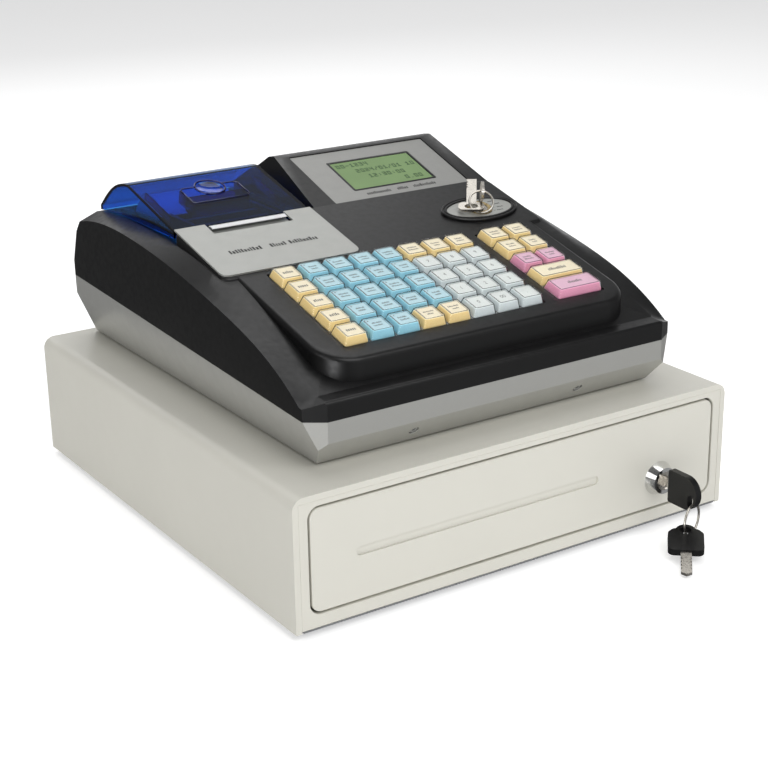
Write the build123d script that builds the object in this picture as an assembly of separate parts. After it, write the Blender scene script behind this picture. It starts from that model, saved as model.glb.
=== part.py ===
from build123d import *
import os
from math import atan2, cos, degrees, radians, sin, sqrt, tan

# Electronic cash register standing on its steel cash drawer. Millimetres, +Z up, front towards -Y.
# Everything is modelled about the middle of the cabinet's floor. The last lines move it in Y so that the
# origin is the bottom centre of the whole object, its hanging keys included.

# ---- cabinet and drawer
CAB_HALF = 167.5            # half width of the cabinet
CAB_FRONT = -180.0          # front face of the cabinet
CAB_BACK = 180.0
FOOT_H = 4.0
CAB_TOP = 90.0
SHEET = 1.2                 # painted sheet steel
CAB_R = 8.0                 # rounded long edges of the top
HEM = 4.0                   # visible hem of the shell round the front frame
OPENING_HALF = 157.5        # drawer opening in the front frame
OPENING_LOW = 13.5
OPENING_HIGH = 82.5
OPENING_R = 8.0
FRAME_DEPTH = 12.0
FRONT_GAP = 1.5             # gap round the drawer front
FRONT_T = 3.6               # thickness of the drawer front
GROOVE = (-125.0, 59.0, 43.5, 49.5)   # pressed groove: x, x, z, z
GROOVE_DEPTH = 1.2
PAN_HALF = 146.0
PAN_BACK = 120.0
PAN_LOW = 14.0
PAN_HIGH = 74.0
RAIL_Z = 42.0
RAIL_HALF_H = 8.0
RAIL_REACH = 9.3            # how far the inner rail stands out from the pan
RAIL_GAP = 1.0
FOOT_R = 8.0
FOOT_X = 150.0
FOOT_Y = 162.0

# ---- till tray, coin cups and note clips
TRAY_HALF = 143.0
TRAY_FRONT = -154.0
TRAY_BACK = 116.0
TRAY_WALL = 2.0
TRAY_FLOOR = PAN_LOW + SHEET
TRAY_HIGH = 58.0
RIB = 3.0                   # ribs between the note bays
NOTE_FRONT = -66.0          # front of the note bays
BAYS = 4
COIN_HIGH = 50.0
COIN_WALL = 2.5
COIN_SCOOP = 14.0
CLIP_Y = 106.0
CLIP_Z = 50.0
CLIP_ROD_R = 1.5
CLIP_REACH = 62.0
CLIP_END_Z = 23.0
FIT = 0.05                  # radial clearance of a running fit

# ---- drawer lock and its keys
LOCK_X = 110.8
LOCK_Z = 35.0
LOCK_R = 9.0
LOCK_BEZEL_R = 11.7
LOCK_FACE_R = 9.0
LOCK_STAND = 6.6            # how far the bezel stands out of the front
LOCK_DEPTH = 16.0
PLUG_R = 6.4
KEYWAY_T = 2.2
KEYWAY_H = 7.4
BLADE_T = 2.0
BLADE_H = 7.0
CAM_LENGTH = 27.0
CAM_W = 12.0
CAM_T = 2.0
HEAD_T = 4.6
HEAD_NEAR = -192.0          # inner edge of the key's plastic head
HEAD_LOW = 23.0
HEAD_HIGH = 45.6
RING_WIRE = 0.8
RING_R = 10.4
RING_TURN = 21.0            # the ring's turn away from the cabinet's front plane
RING_Y = -213.0
RING_Z = 17.0

# ---- register housing
HOUSE_LOW = 91.0
HOUSE_HALF = 141.5
HOUSE_FOOT_HALF = 128.8     # half width of the housing at its foot
HOUSE_FLARE_Z = 122.0       # height where the side walls turn upright
HOUSE_FRONT = -158.0
HOUSE_FOOT_FRONT = -144.0
HOUSE_CREASE_Z = 108.0
HOUSE_BACK = 172.5
CORNER_X = 12.5             # facet on each front corner, in plan
CORNER_Y = 8.0
SPLIT_FRONT = 121.5         # height of the seam between the two housing halves
SPLIT_BACK = 135.5
WALL = 2.5
RIDGE_HALF = 129.0          # half width between the top ridges
DECK_ANGLE = 14.0
DECK_Y = -142.7             # a point of the keyboard deck's plane
DECK_Z = 150.8
DECK_HALF = 118.5
DECK_FRONT = -144.0
DECK_BACK = 34.0
DECK_R = 25.0
DECK_EDGE_R = 4.0
REAR_DECK_R = 6.0
REAR_EDGE_R = 2.5
REAR_R = 8.0                # rounding of the edges across the rear
BROW_R = 2.5                # rounding of the edges across the front
REAR_DECK_HALF = 128.0
REAR_DECK_FRONT = -34.0
TOP_Z = 189.0               # level of the housing top behind the deck

# ---- keys
PITCH = 19.05
COLUMNS = 8
ROWS = 5
MAIN_X = -98.7              # left edge of the main key block
SIDE_X = 64.6               # left edge of the right key block
KEYS_V = 13.4               # front edge of both blocks, up the deck's slope
KEY_BASE = 18.1
KEY_TOP = 14.7
KEY_HIGH = 5.7
KEY_SKIRT = -1.0            # bottom edge of a key cap below the deck's plane
STEM = 5.0
STEM_LOW = -7.0
KEY_TRAVEL = 3.5
PLATE_X = (-107.0, 110.0)    # switch plate: x, x
PLATE_V = (7.0, 116.0)       # switch plate: v, v
PLATE_HIGH = -6.5
PLATE_LOW = -8.0
SWITCH = 13.8
SWITCH_HIGH = -5.0
SWITCH_LOW = -14.0
SWITCH_POCKET = -11.5

# ---- display pod
POD_ANGLE = 18.5
POD_Y = 31.0
POD_Z = 192.0
POD_LEFT = -10.0
POD_RIGHT = 128.7
POD_LENGTH = 78.0
POD_SIDE_FLARE = 10.0       # the left side wall leans out by this much
PANEL = (0.3, 114.8, 6.6, 73.6)       # panel: x, x, v, v on the pod's face
PANEL_T = 1.5
GLASS = (23.7, 93.1, 19.5, 59.1)
GLASS_T = 2.0

# ---- printer
PRINTER_LEFT = -127.0
PRINTER_RIGHT = -23.5
PRINTER_V = (114.1, 182.1)
PRINTER_PLATE_T = 1.2
PAPER_X = (-103.0, -46.0)
SLOT_X = (-104.6, -44.6)
SLOT_V = 168.0
COVER_WALL = 2.0
COVER_FRONT = 34.8
PLATEN_Y = 52.0
PLATEN_Z = 184.0
PLATEN_R = 6.0
ROLL_Y = 119.0
ROLL_Z = 172.5
ROLL_R = 25.0
CORE_R = 6.0

# ---- mode lock
MODE_X = 91.3
MODE_V = 140.4
MODE_OVAL = (30.0, 16.5)
MODE_PLATE_T = 1.6
MODE_BODY_R = 9.0
MODE_PLUG_R = 6.0
MODE_TURN = 57.0            # direction of the key's bow at rest, from +X
MODE_RING_R = 8.4
MODE_RING_WIRE = 0.7
BOW_T = 2.0
BOW_W = 18.0

BIG = 400.0

deck_plane = Plane((0, DECK_Y, DECK_Z), x_dir=(1, 0, 0),
                   z_dir=(0, -sin(radians(DECK_ANGLE)), cos(radians(DECK_ANGLE))))
pod_plane = Plane((0, POD_Y, POD_Z), x_dir=(1, 0, 0),
                  z_dir=(0, -sin(radians(POD_ANGLE)), cos(radians(POD_ANGLE))))


# ------------------------------------------------------------------ basic shapes
def block(x0, x1, y0, y1, z0, z1):
    """A box between two corners."""
    return Pos((x0 + x1) / 2, (y0 + y1) / 2, (z0 + z1) / 2) * Box(x1 - x0, y1 - y0, z1 - z0)


def outline(points):
    """A closed straight-sided face."""
    return Polygon(*points, align=None)


def slab_x(face, x0, x1):
    """A (y, z) face carried from x0 to x1."""
    return extrude(Plane.YZ.offset(x0) * face, amount=x1 - x0, dir=(1, 0, 0))


def slab_y(face, y0, y1):
    """An (x, z) face carried from y0 to y1."""
    return extrude(Plane.XZ.offset(-y0) * face, amount=y1 - y0, dir=(0, 1, 0))


def slab_z(face, z0, z1):
    """An (x, y) face carried from z0 to z1."""
    return extrude(Plane.XY.offset(z0) * face, amount=z1 - z0, dir=(0, 0, 1))


def rod_x(radius, x0, x1, y, z):
    return Pos((x0 + x1) / 2, y, z) * Rot(0, 90, 0) * Cylinder(radius, x1 - x0)


def rod_y(radius, x, y0, y1, z):
    return Pos(x, (y0 + y1) / 2, z) * Rot(90, 0, 0) * Cylinder(radius, y1 - y0)


def rod_z(radius, x, y, z0, z1):
    return Pos(x, y, (z0 + z1) / 2) * Cylinder(radius, z1 - z0)


def rounded(x0, x1, y0, y1, radius):
    """A rounded rectangle between two corners."""
    return Pos((x0 + x1) / 2, (y0 + y1) / 2) * RectangleRounded(x1 - x0, y1 - y0, radius)


def on_plane(plane, face, low, high):
    """A face on a tilted plane carried between two heights above it."""
    return extrude(plane.offset(low) * face, amount=high - low, dir=plane.z_dir)


def frustum(plane, x, v, base, top, low, high):
    """A tapered square block on a tilted plane. base and top are (width, depth)."""
    lower = plane.offset(low) * Pos(x, v) * RectangleRounded(base[0], base[1], 1.2)
    upper = plane.offset(high) * Pos(x, v) * RectangleRounded(top[0], top[1], 1.2)
    return loft([lower.face(), upper.face()])


def deck_height(y):
    """Height of the keyboard deck's plane at a depth y."""
    return DECK_Z + (y - DECK_Y) * tan(radians(DECK_ANGLE))


def seam_height(y):
    """Height of the seam between the two halves of the housing."""
    return SPLIT_FRONT + (y - HOUSE_FRONT) * (SPLIT_BACK - SPLIT_FRONT) / (HOUSE_BACK - HOUSE_FRONT)


# ------------------------------------------------------------------ cabinet
def cabinet_profile(inset):
    """The cabinet's front outline with its two rounded top corners."""
    half = CAB_HALF - inset
    high = CAB_TOP - inset
    face = outline([(-half, FOOT_H), (half, FOOT_H), (half, high), (-half, high)])
    top = face.vertices().group_by(Axis.Y)[-1]
    return fillet(top, CAB_R - inset)


def cabinet_shell():
    skin = cabinet_profile(0) - cabinet_profile(SHEET)
    hem = cabinet_profile(0) - outline([(-CAB_HALF + HEM, 0), (CAB_HALF - HEM, 0),
                                        (CAB_HALF - HEM, CAB_TOP - HEM), (-CAB_HALF + HEM, CAB_TOP - HEM)])
    shell = slab_y(skin, CAB_FRONT, CAB_BACK)
    shell += slab_y(hem, CAB_FRONT, CAB_FRONT + SHEET)
    shell += slab_y(cabinet_profile(SHEET), CAB_BACK - SHEET, CAB_BACK)
    return shell


def cabinet_base():
    inner = CAB_HALF - SHEET
    plate = block(-inner, inner, CAB_FRONT + SHEET, CAB_BACK - SHEET, FOOT_H, FOOT_H + SHEET)
    lip = block(-inner + HEM, inner - HEM, CAB_FRONT, CAB_FRONT + SHEET, FOOT_H, FOOT_H + SHEET)
    return plate + lip


def cabinet_bezel():
    outer = CAB_HALF - HEM
    low = FOOT_H + SHEET
    ring = outline([(-outer, low), (outer, low), (outer, CAB_TOP - HEM), (-outer, CAB_TOP - HEM)])
    ring -= rounded(-OPENING_HALF, OPENING_HALF, OPENING_LOW, OPENING_HIGH, OPENING_R)
    sleeve = rounded(-OPENING_HALF - SHEET, OPENING_HALF + SHEET, OPENING_LOW - SHEET, OPENING_HIGH + SHEET,
                     OPENING_R + SHEET)
    sleeve -= rounded(-OPENING_HALF, OPENING_HALF, OPENING_LOW, OPENING_HIGH, OPENING_R)
    return slab_y(ring, CAB_FRONT, CAB_FRONT + SHEET) + slab_y(sleeve, CAB_FRONT, CAB_FRONT + FRAME_DEPTH)


def cabinet_feet():
    feet = []
    for x in (-FOOT_X, FOOT_X):
        for y in (-FOOT_Y, FOOT_Y):
            feet.append(Pos(x, y, FOOT_H / 2) * Cone(FOOT_R - 1, FOOT_R, FOOT_H))
    return Compound(children=feet)


def slide_outer_rails():
    """C rails, each on two stand-off brackets from the cabinet wall."""
    web_in = PAN_HALF + RAIL_REACH + RAIL_GAP
    web_out = web_in + SHEET
    rails = []
    for side in (-1, 1):
        parts = [(web_in, web_out, -160, 168, RAIL_Z - RAIL_HALF_H, RAIL_Z + RAIL_HALF_H)]
        for end in (-1, 1):
            edge = RAIL_Z + end * RAIL_HALF_H
            inside = edge - end * SHEET
            parts.append((PAN_HALF + 2.5, web_in, -160, 168, min(edge, inside), max(edge, inside)))
        for y in (-150, 150):
            parts.append((web_out, CAB_HALF - SHEET, y, y + 3, RAIL_Z - RAIL_HALF_H, RAIL_Z + RAIL_HALF_H))
        rail = None
        for x0, x1, y0, y1, z0, z1 in parts:
            piece = block(min(side * x0, side * x1), max(side * x0, side * x1), y0, y1, z0, z1)
            rail = piece if rail is None else rail + piece
        rails.append(rail)
    return Compound(children=rails)


def slide_inner_rails():
    """C bars on the drawer's sides, open towards the outer rails."""
    half_h = RAIL_HALF_H - SHEET - RAIL_GAP
    rails = []
    for side in (-1, 1):
        spans = [(PAN_HALF, PAN_HALF + SHEET, RAIL_Z - half_h, RAIL_Z + half_h),
                 (PAN_HALF, PAN_HALF + RAIL_REACH, RAIL_Z + half_h - SHEET, RAIL_Z + half_h),
                 (PAN_HALF, PAN_HALF + RAIL_REACH, RAIL_Z - half_h, RAIL_Z - half_h + SHEET)]
        rail = None
        for x0, x1, z0, z1 in spans:
            piece = block(min(side * x0, side * x1), max(side * x0, side * x1), -165, PAN_BACK, z0, z1)
            rail = piece if rail is None else rail + piece
        rails.append(rail)
    return Compound(children=rails)


# ------------------------------------------------------------------ latch
LATCH_Y = 158.0
LATCH_Z = 34.5
LATCH_PIN_R = 1.5
LATCH_HALF = 6.0
LATCH_T = 3.0
HOOK_Y = 126.0
TONGUE_TOP = 22.0
TONGUE_T = 2.0


def latch_solenoid():
    """Coil block with a plunger, and two cheeks that carry the lever's pin."""
    base = FOOT_H + SHEET
    body = block(-15, 15, 136, 168, base, 27)
    body += rod_z(3, 0, 146, 27, 30.5)
    for side in (-1, 1):
        inner = side * (LATCH_HALF + 0.5)
        outer = side * (LATCH_HALF + 2.5)
        body += block(min(inner, outer), max(inner, outer), 152, 164, 27, LATCH_Z + 5)
    body += rod_x(LATCH_PIN_R, -LATCH_HALF - 2.5, LATCH_HALF + 2.5, LATCH_Y, LATCH_Z)
    return body


def latch_lever():
    """Lever with a hook at its front end. At rest the hook stands clear above the drawer's tongue."""
    lever = block(-LATCH_HALF, LATCH_HALF, HOOK_Y - 2, 168, LATCH_Z - LATCH_T / 2, LATCH_Z + LATCH_T / 2)
    lever += rod_x(LATCH_T, -LATCH_HALF, LATCH_HALF, LATCH_Y, LATCH_Z)
    lever += block(-3, 3, HOOK_Y - 2, HOOK_Y + 1, TONGUE_TOP + 1.5, LATCH_Z)
    return lever - rod_x(LATCH_PIN_R + FIT, -LATCH_HALF, LATCH_HALF, LATCH_Y, LATCH_Z)


# ------------------------------------------------------------------ drawer
def drawer_pan():
    """Open steel box with a slotted tongue for the latch and a slot for the lock's cam."""
    back_of_front = CAB_FRONT + FRONT_T
    pan = block(-PAN_HALF, PAN_HALF, back_of_front, PAN_BACK, PAN_LOW, PAN_HIGH)
    pan -= block(-PAN_HALF + SHEET, PAN_HALF - SHEET, back_of_front + SHEET, PAN_BACK - SHEET,
                 PAN_LOW + SHEET, PAN_HIGH + 1)
    pan += block(-10, 10, PAN_BACK, 133, TONGUE_TOP - TONGUE_T, TONGUE_TOP)
    pan -= block(-4.5, 4.5, HOOK_Y - 4, HOOK_Y + 3, PAN_LOW, PAN_HIGH)
    cam_y = CAB_FRONT + LOCK_DEPTH + CAM_T / 2 + FRONT_T
    pan -= block(LOCK_X - CAM_LENGTH - 2, LOCK_X + CAM_W, cam_y - 4, cam_y + 4, PAN_LOW - 1, PAN_LOW + SHEET)
    return pan - rod_y(LOCK_R + FIT, LOCK_X, CAB_FRONT, back_of_front + SHEET, LOCK_Z)


def drawer_front():
    """Front panel with softened edges, a pressed groove and the lock's hole."""
    half = OPENING_HALF - FRONT_GAP
    face = rounded(-half, half, OPENING_LOW + FRONT_GAP, OPENING_HIGH - FRONT_GAP, OPENING_R - FRONT_GAP)
    panel = slab_y(face, CAB_FRONT, CAB_FRONT + FRONT_T)
    panel = fillet(panel.faces().sort_by(Axis.Y)[0].edges(), 0.8)
    x0, x1, z0, z1 = GROOVE
    groove = slab_y(rounded(x0, x1, z0, z1, (z1 - z0) / 2 - 0.01), CAB_FRONT, CAB_FRONT + GROOVE_DEPTH)
    return panel - groove - rod_y(LOCK_R + FIT, LOCK_X, CAB_FRONT - 1, CAB_FRONT + FRONT_T + 1, LOCK_Z)


def bay_edges():
    """Inner left and right edge of each note bay."""
    inner = TRAY_HALF - TRAY_WALL
    width = (2 * inner - (BAYS - 1) * RIB) / BAYS
    return [(-inner + i * (width + RIB), -inner + i * (width + RIB) + width) for i in range(BAYS)]


def till_tray():
    """Lift-out tray: note bays behind, one open bay for the coin cups in front."""
    tray = block(-TRAY_HALF, TRAY_HALF, TRAY_FRONT, TRAY_BACK, TRAY_FLOOR, TRAY_HIGH)
    top = TRAY_HIGH + 1
    floor = TRAY_FLOOR + TRAY_WALL
    tray -= block(-TRAY_HALF + TRAY_WALL, TRAY_HALF - TRAY_WALL, TRAY_FRONT + TRAY_WALL, NOTE_FRONT - RIB, floor, top)
    for x0, x1 in bay_edges():
        tray -= block(x0, x1, NOTE_FRONT, TRAY_BACK - TRAY_WALL, floor, top)
    tray -= rod_x(CLIP_ROD_R + FIT, -TRAY_HALF + 0.6, TRAY_HALF - 0.6, CLIP_Y, CLIP_Z)
    return tray


def coin_cups():
    """Removable strip of scooped cups, two rows deep."""
    gap = 0.5
    x_edge = TRAY_HALF - TRAY_WALL - gap
    y0 = TRAY_FRONT + TRAY_WALL + gap
    y1 = NOTE_FRONT - RIB - gap
    low = TRAY_FLOOR + TRAY_WALL
    strip = block(-x_edge, x_edge, y0, y1, low, COIN_HIGH)
    cup_w = (2 * x_edge - (BAYS + 1) * COIN_WALL) / BAYS
    cup_d = (y1 - y0 - 3 * COIN_WALL) / 2
    for i in range(BAYS):
        for j in range(2):
            x = -x_edge + COIN_WALL + i * (cup_w + COIN_WALL)
            y = y0 + COIN_WALL + j * (cup_d + COIN_WALL)
            cup = block(x, x + cup_w, y, y + cup_d, low + COIN_WALL, COIN_HIGH + COIN_SCOOP)
            bottom = cup.edges().filter_by(Axis.X).group_by(Axis.Z)[0]
            strip -= fillet(bottom, COIN_SCOOP)
    return strip


def bill_clip(x0, x1):
    """Spring-loaded arm on a rod between two ribs, with a roller that rests on the notes."""
    middle = (x0 + x1) / 2
    clip = rod_x(CLIP_ROD_R, x0 - 1.2, x1 + 1.2, CLIP_Y, CLIP_Z)
    end_y = CLIP_Y - CLIP_REACH
    arm = outline([(CLIP_Y + 3, CLIP_Z - 3), (CLIP_Y + 3, CLIP_Z + 3), (CLIP_Y - 4, CLIP_Z + 3),
                   (end_y, CLIP_END_Z + 3), (end_y, CLIP_END_Z), (CLIP_Y - 6, CLIP_Z - 3)])
    clip += slab_x(arm, middle - 14, middle + 14)
    return clip + rod_x(4, middle - 20, middle + 20, end_y, CLIP_END_Z)


# ------------------------------------------------------------------ drawer lock
def drawer_lock_body():
    """Barrel through the front panel with a conical bezel and a stepped face."""
    face_y = CAB_FRONT - LOCK_STAND
    bezel = Pos(LOCK_X, (CAB_FRONT + face_y) / 2, LOCK_Z) * Rot(90, 0, 0) * Cone(LOCK_BEZEL_R, LOCK_FACE_R, LOCK_STAND)
    body = bezel + rod_y(LOCK_R, LOCK_X, CAB_FRONT, CAB_FRONT + LOCK_DEPTH, LOCK_Z)
    body -= rod_y(PLUG_R + FIT, LOCK_X, face_y - 1, CAB_FRONT + LOCK_DEPTH + 1, LOCK_Z)
    return body


def drawer_lock_plug():
    """Turning plug with the keyway and, behind the barrel, the locking cam."""
    front_y = CAB_FRONT - LOCK_STAND + 0.8
    back_y = CAB_FRONT + LOCK_DEPTH + FRONT_T - 0.2
    plug = rod_y(PLUG_R, LOCK_X, front_y, back_y, LOCK_Z)
    cam = block(LOCK_X - CAM_LENGTH, LOCK_X, back_y, back_y + CAM_T, LOCK_Z - CAM_W / 2, LOCK_Z + CAM_W / 2)
    plug += cam + rod_y(CAM_W / 2, LOCK_X, back_y, back_y + CAM_T, LOCK_Z)
    keyway = block(LOCK_X - KEYWAY_T / 2, LOCK_X + KEYWAY_T / 2, front_y - 1, CAB_FRONT + LOCK_DEPTH - 4,
                   LOCK_Z - KEYWAY_H / 2, LOCK_Z + KEYWAY_H / 2)
    return plug - keyway


def head_face():
    """Outline of a plastic key head: a straight inner edge and a round outer end, with a slot."""
    radius = (HEAD_HIGH - HEAD_LOW) / 2
    middle = (HEAD_HIGH + HEAD_LOW) / 2
    straight = 15.0
    face = Pos(-straight / 2, 0) * RectangleRounded(straight, 2 * radius, 1.5)
    face += Pos(-straight, 0) * Circle(radius)
    hole_z = RING_Z + RING_R + 2.4 - middle
    slot = Pos(RING_Y - HEAD_NEAR, hole_z) * SlotOverall(9.4, 5.0, rotation=90)
    return face - slot


def blade(length):
    """A double-sided blade with its bitting notches, its stop end at the origin, pointing +X."""
    face = outline([(0, -BLADE_H / 2), (length - 2, -BLADE_H / 2), (length, 0), (length - 2, BLADE_H / 2),
                    (0, BLADE_H / 2)])
    for i in range(4):
        for side in (-1, 1):
            face -= Pos(length * (0.3 + 0.15 * i), side * BLADE_H / 2) * Circle(0.9)
    return extrude(face, amount=BLADE_T / 2, both=True)


def drawer_key():
    """Key standing in the lock, its head in an upright plane."""
    middle = (HEAD_HIGH + HEAD_LOW) / 2
    upright = Plane((LOCK_X, HEAD_NEAR, middle), x_dir=(0, 1, 0), z_dir=(1, 0, 0))
    key = extrude(upright * head_face(), amount=HEAD_T / 2, both=True)
    in_lock = Plane((LOCK_X, HEAD_NEAR, LOCK_Z), x_dir=(0, 1, 0), z_dir=(1, 0, 0))
    return key + in_lock * blade(CAB_FRONT + LOCK_DEPTH - 5 - HEAD_NEAR)


def ring(centre, across, down, radius, wire):
    """A closed wire ring in the plane of two directions."""
    normal = Vector(*across).cross(Vector(*down))
    return Plane(centre, x_dir=across, z_dir=normal) * Torus(radius, wire)


RING_ACROSS = (cos(radians(RING_TURN)), sin(radians(RING_TURN)), 0)
SPARE_DROP = 6.4            # the spare key meets the ring this far below the ring's centre
SPARE_AIM = (-41.0, -46.0, -11.0)


def drawer_key_ring():
    return ring((LOCK_X, RING_Y, RING_Z), RING_ACROSS, (0, 0, -1), RING_R, RING_WIRE)


def drawer_spare_key():
    """Second key on the ring. It lies with its tip on the surface in front of the cabinet."""
    out = sqrt(RING_R ** 2 - SPARE_DROP ** 2)
    hole = Vector(LOCK_X - out * RING_ACROSS[0], RING_Y - out * RING_ACROSS[1], RING_Z - SPARE_DROP)
    aim = Vector(*SPARE_AIM).normalized()
    flat = aim.cross(Vector(0, 0, 1)).cross(aim).normalized()
    place = Plane(hole, x_dir=aim, z_dir=flat)
    head = Pos(11, 0) * RectangleRounded(22, 23, 4) + Circle(6.5) + Pos(4, 0) * RectangleRounded(12, 21, 5)
    head -= Circle(3.7)
    key = extrude(head, amount=HEAD_T / 2, both=True)
    return place * (key + Pos(22, 0, 0) * blade(23.5))


# ------------------------------------------------------------------ housing
def house_plan(inset):
    """Plan outline of the housing with its two faceted front corners."""
    half = HOUSE_HALF - inset
    front = HOUSE_FRONT + inset
    back = HOUSE_BACK - inset
    cx = CORNER_X - inset * 0.4
    cy = CORNER_Y
    return outline([(-half, front + cy), (-half + cx, front), (half - cx, front), (half, front + cy),
                    (half, back), (-half, back)])


def lower_profiles(inset, lift):
    """Side and front outlines of the lower case."""
    low = HOUSE_LOW + inset
    side = outline([(HOUSE_FOOT_FRONT + inset, low), (HOUSE_FRONT + inset, HOUSE_CREASE_Z + inset / 2),
                    (HOUSE_FRONT + inset, SPLIT_FRONT + lift), (HOUSE_BACK - inset, SPLIT_BACK + lift),
                    (HOUSE_BACK - 1.5 - inset, low)])
    foot = HOUSE_FOOT_HALF - inset
    top = HOUSE_HALF - inset
    front = outline([(-foot, low), (foot, low), (top, HOUSE_FLARE_Z), (top, SPLIT_BACK + lift),
                     (-top, SPLIT_BACK + lift), (-top, HOUSE_FLARE_Z)])
    return side, front


def lower_body(inset, lift):
    side, front = lower_profiles(inset, lift)
    body = slab_x(side, -BIG, BIG) & slab_y(front, -BIG, BIG)
    return body & slab_z(house_plan(inset), 0, BIG)


SCREW_X = 64.0
SCREW_R = 2.6
SCREW_HOLE_R = 3.4
SCREW_DEPTH = 2.2
BOARD_LOW = 101.0
BOARD_T = 1.6
BOARD = (-96.0, 96.0, -98.0, 108.0)
SOCKETS = ((-96.0, 12.0), (-66.0, 16.0))    # rear sockets: x of the middle, width
SOCKET_Z = (104.0, 116.0)


def screw_planes():
    """Seats of the housing screws on the sloping lower band, axes square to the band."""
    run = HOUSE_FOOT_FRONT - HOUSE_FRONT
    rise = HOUSE_CREASE_Z - HOUSE_LOW
    length = sqrt(run ** 2 + rise ** 2)
    out = (0, -rise / length, -run / length)
    middle_y = (HOUSE_FOOT_FRONT + HOUSE_FRONT) / 2
    middle_z = (HOUSE_LOW + HOUSE_CREASE_Z) / 2
    return [Plane((x, middle_y, middle_z), x_dir=(1, 0, 0), z_dir=out) for x in (-SCREW_X, SCREW_X)]


def lower_case():
    """Silver lower half: a tray with flared sides, feet, screw wells and board posts."""
    case = lower_body(0, 0) - lower_body(WALL, 20)
    for x in (-110, 110):
        for y in (-120, 140):
            case += rod_z(6, x, y, CAB_TOP, HOUSE_LOW)
    for x in (BOARD[0] + 8, BOARD[1] - 8):
        for y in (BOARD[2] + 8, BOARD[3] - 8):
            case += rod_z(4, x, y, HOUSE_LOW + WALL / 2, BOARD_LOW)
    for seat in screw_planes():
        case += extrude(seat.offset(-8) * Circle(6), amount=6)
        case -= extrude(seat.offset(-SCREW_DEPTH) * Circle(SCREW_HOLE_R), amount=6)
        case -= extrude(seat.offset(-12) * Circle(1.6), amount=12)
    for x, width in SOCKETS:
        case -= block(x - width / 2, x + width / 2, HOUSE_BACK - 6, HOUSE_BACK + 1, *SOCKET_Z)
    return case


def case_screws():
    screws = []
    for seat in screw_planes():
        screw = extrude(seat.offset(-SCREW_DEPTH) * Circle(SCREW_R), amount=1.6)
        screw += extrude(seat.offset(-8) * Circle(1.5), amount=8 - SCREW_DEPTH)
        screw -= extrude(seat.offset(-SCREW_DEPTH + 0.8) * Rectangle(3.4, 0.8), amount=1)
        screw -= extrude(seat.offset(-SCREW_DEPTH + 0.8) * Rectangle(0.8, 3.4), amount=1)
        screws.append(screw)
    return Compound(children=screws)


RIDGE_CREST = [(-147, 134.5), (-81, 160.8), (-40, 174.5), (7, 184.6), (60, 188.2), (114, 188.4), (152.5, 185.2)]
FLANK_CREST = [(-147, 130), (-104, 152), (-48, 166.7), (12, 177.7), (70, 184), (120, 184.6), (157, 178.3)]


def crest_face(crest, brow, shoulder, inset):
    """Side outline of the upper case under one crest line."""
    front = HOUSE_FRONT + inset
    back = HOUSE_BACK - inset
    drop = 8 if inset else 0
    points = [(y, z - inset * 1.1) for y, z in crest]
    start = (front, seam_height(front) - drop)
    end = (back, seam_height(back) - drop)
    step = (back, 147 - inset)
    knee = (shoulder[0] - inset, shoulder[1] - inset)
    edges = [Line(start, (front, brow - inset)), Line((front, brow - inset), points[0])]
    edges += [Spline(*points), Line(points[-1], knee), Line(knee, step), Line(step, end), Line(end, start)]
    return make_face(edges)


def upper_body(inset):
    """The upper case without its keyboard deck: a middle slab and two falling flanks."""
    ridge = crest_face(RIDGE_CREST, 134, (165, 178), inset)
    flank = crest_face(FLANK_CREST, 129, (164, 170), inset)
    body = slab_x(ridge, -RIDGE_HALF, RIDGE_HALF)
    edge = HOUSE_HALF - inset
    for side in (-1, 1):
        inner_face = Plane.YZ.offset(side * RIDGE_HALF) * ridge
        outer_face = Plane.YZ.offset(side * edge) * flank
        body += loft([inner_face.face(), outer_face.face()], ruled=True)
    body &= slab_z(house_plan(inset), 0, BIG)
    if inset:
        return body
    across = [e for e in body.edges() if e.geom_type == GeomType.LINE and abs((e @ 0.5).X) < 1 and e.length > 200]
    body = fillet([e for e in across if (e @ 0.5).Y > 150 and (e @ 0.5).Z > 140], REAR_R)
    low = (HOUSE_FRONT - 1, 133, HOUSE_FRONT + 12, 135)
    brow = [e for e in body.edges() if e.geom_type == GeomType.LINE
            and low[0] < (e @ 0.5).Y < low[2] and low[1] < (e @ 0.5).Z < low[3]]
    return fillet(brow, BROW_R)


def under_deck(inset):
    """Everything below the deck's plane, lowered by the inset."""
    y0 = HOUSE_FRONT - 10
    y1 = DECK_BACK + 30
    drop = inset / cos(radians(DECK_ANGLE))
    return slab_x(outline([(y0, SPLIT_FRONT - 8), (y0, deck_height(y0) - drop), (y1, deck_height(y1) - drop),
                           (y1, SPLIT_FRONT - 8)]), -BIG, BIG)


def soften_top(shape, radius):
    """Rounds the edges of a deck's top face, but not where it runs under the display."""
    top = shape.faces().sort_by(Axis.Z)[-1]
    return fillet([e for e in top.edges() if (e @ 0.5).Y < DECK_BACK - 1], radius)


def deck_body(inset):
    """The raised keyboard deck and the wider rear deck with the printer plate."""
    half = DECK_HALF - inset
    front = DECK_FRONT + inset
    plan = rounded(-half, half, front, DECK_BACK + DECK_R * 2, DECK_R - inset)
    plan &= outline([(-half, front), (half, front), (half, DECK_BACK - inset), (-half, DECK_BACK - inset)])
    low = seam_height(DECK_FRONT) + (2 if inset == 0 else -8)
    key_deck = slab_z(plan, low, BIG) & under_deck(inset)
    wide = REAR_DECK_HALF - inset
    rear = rounded(-wide, wide, REAR_DECK_FRONT + inset, DECK_BACK - inset, REAR_DECK_R)
    rear_deck = slab_z(rear, 160, BIG) & under_deck(inset)
    if inset:
        return key_deck + rear_deck
    return soften_top(key_deck, DECK_EDGE_R) + soften_top(rear_deck, REAR_EDGE_R)


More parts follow.
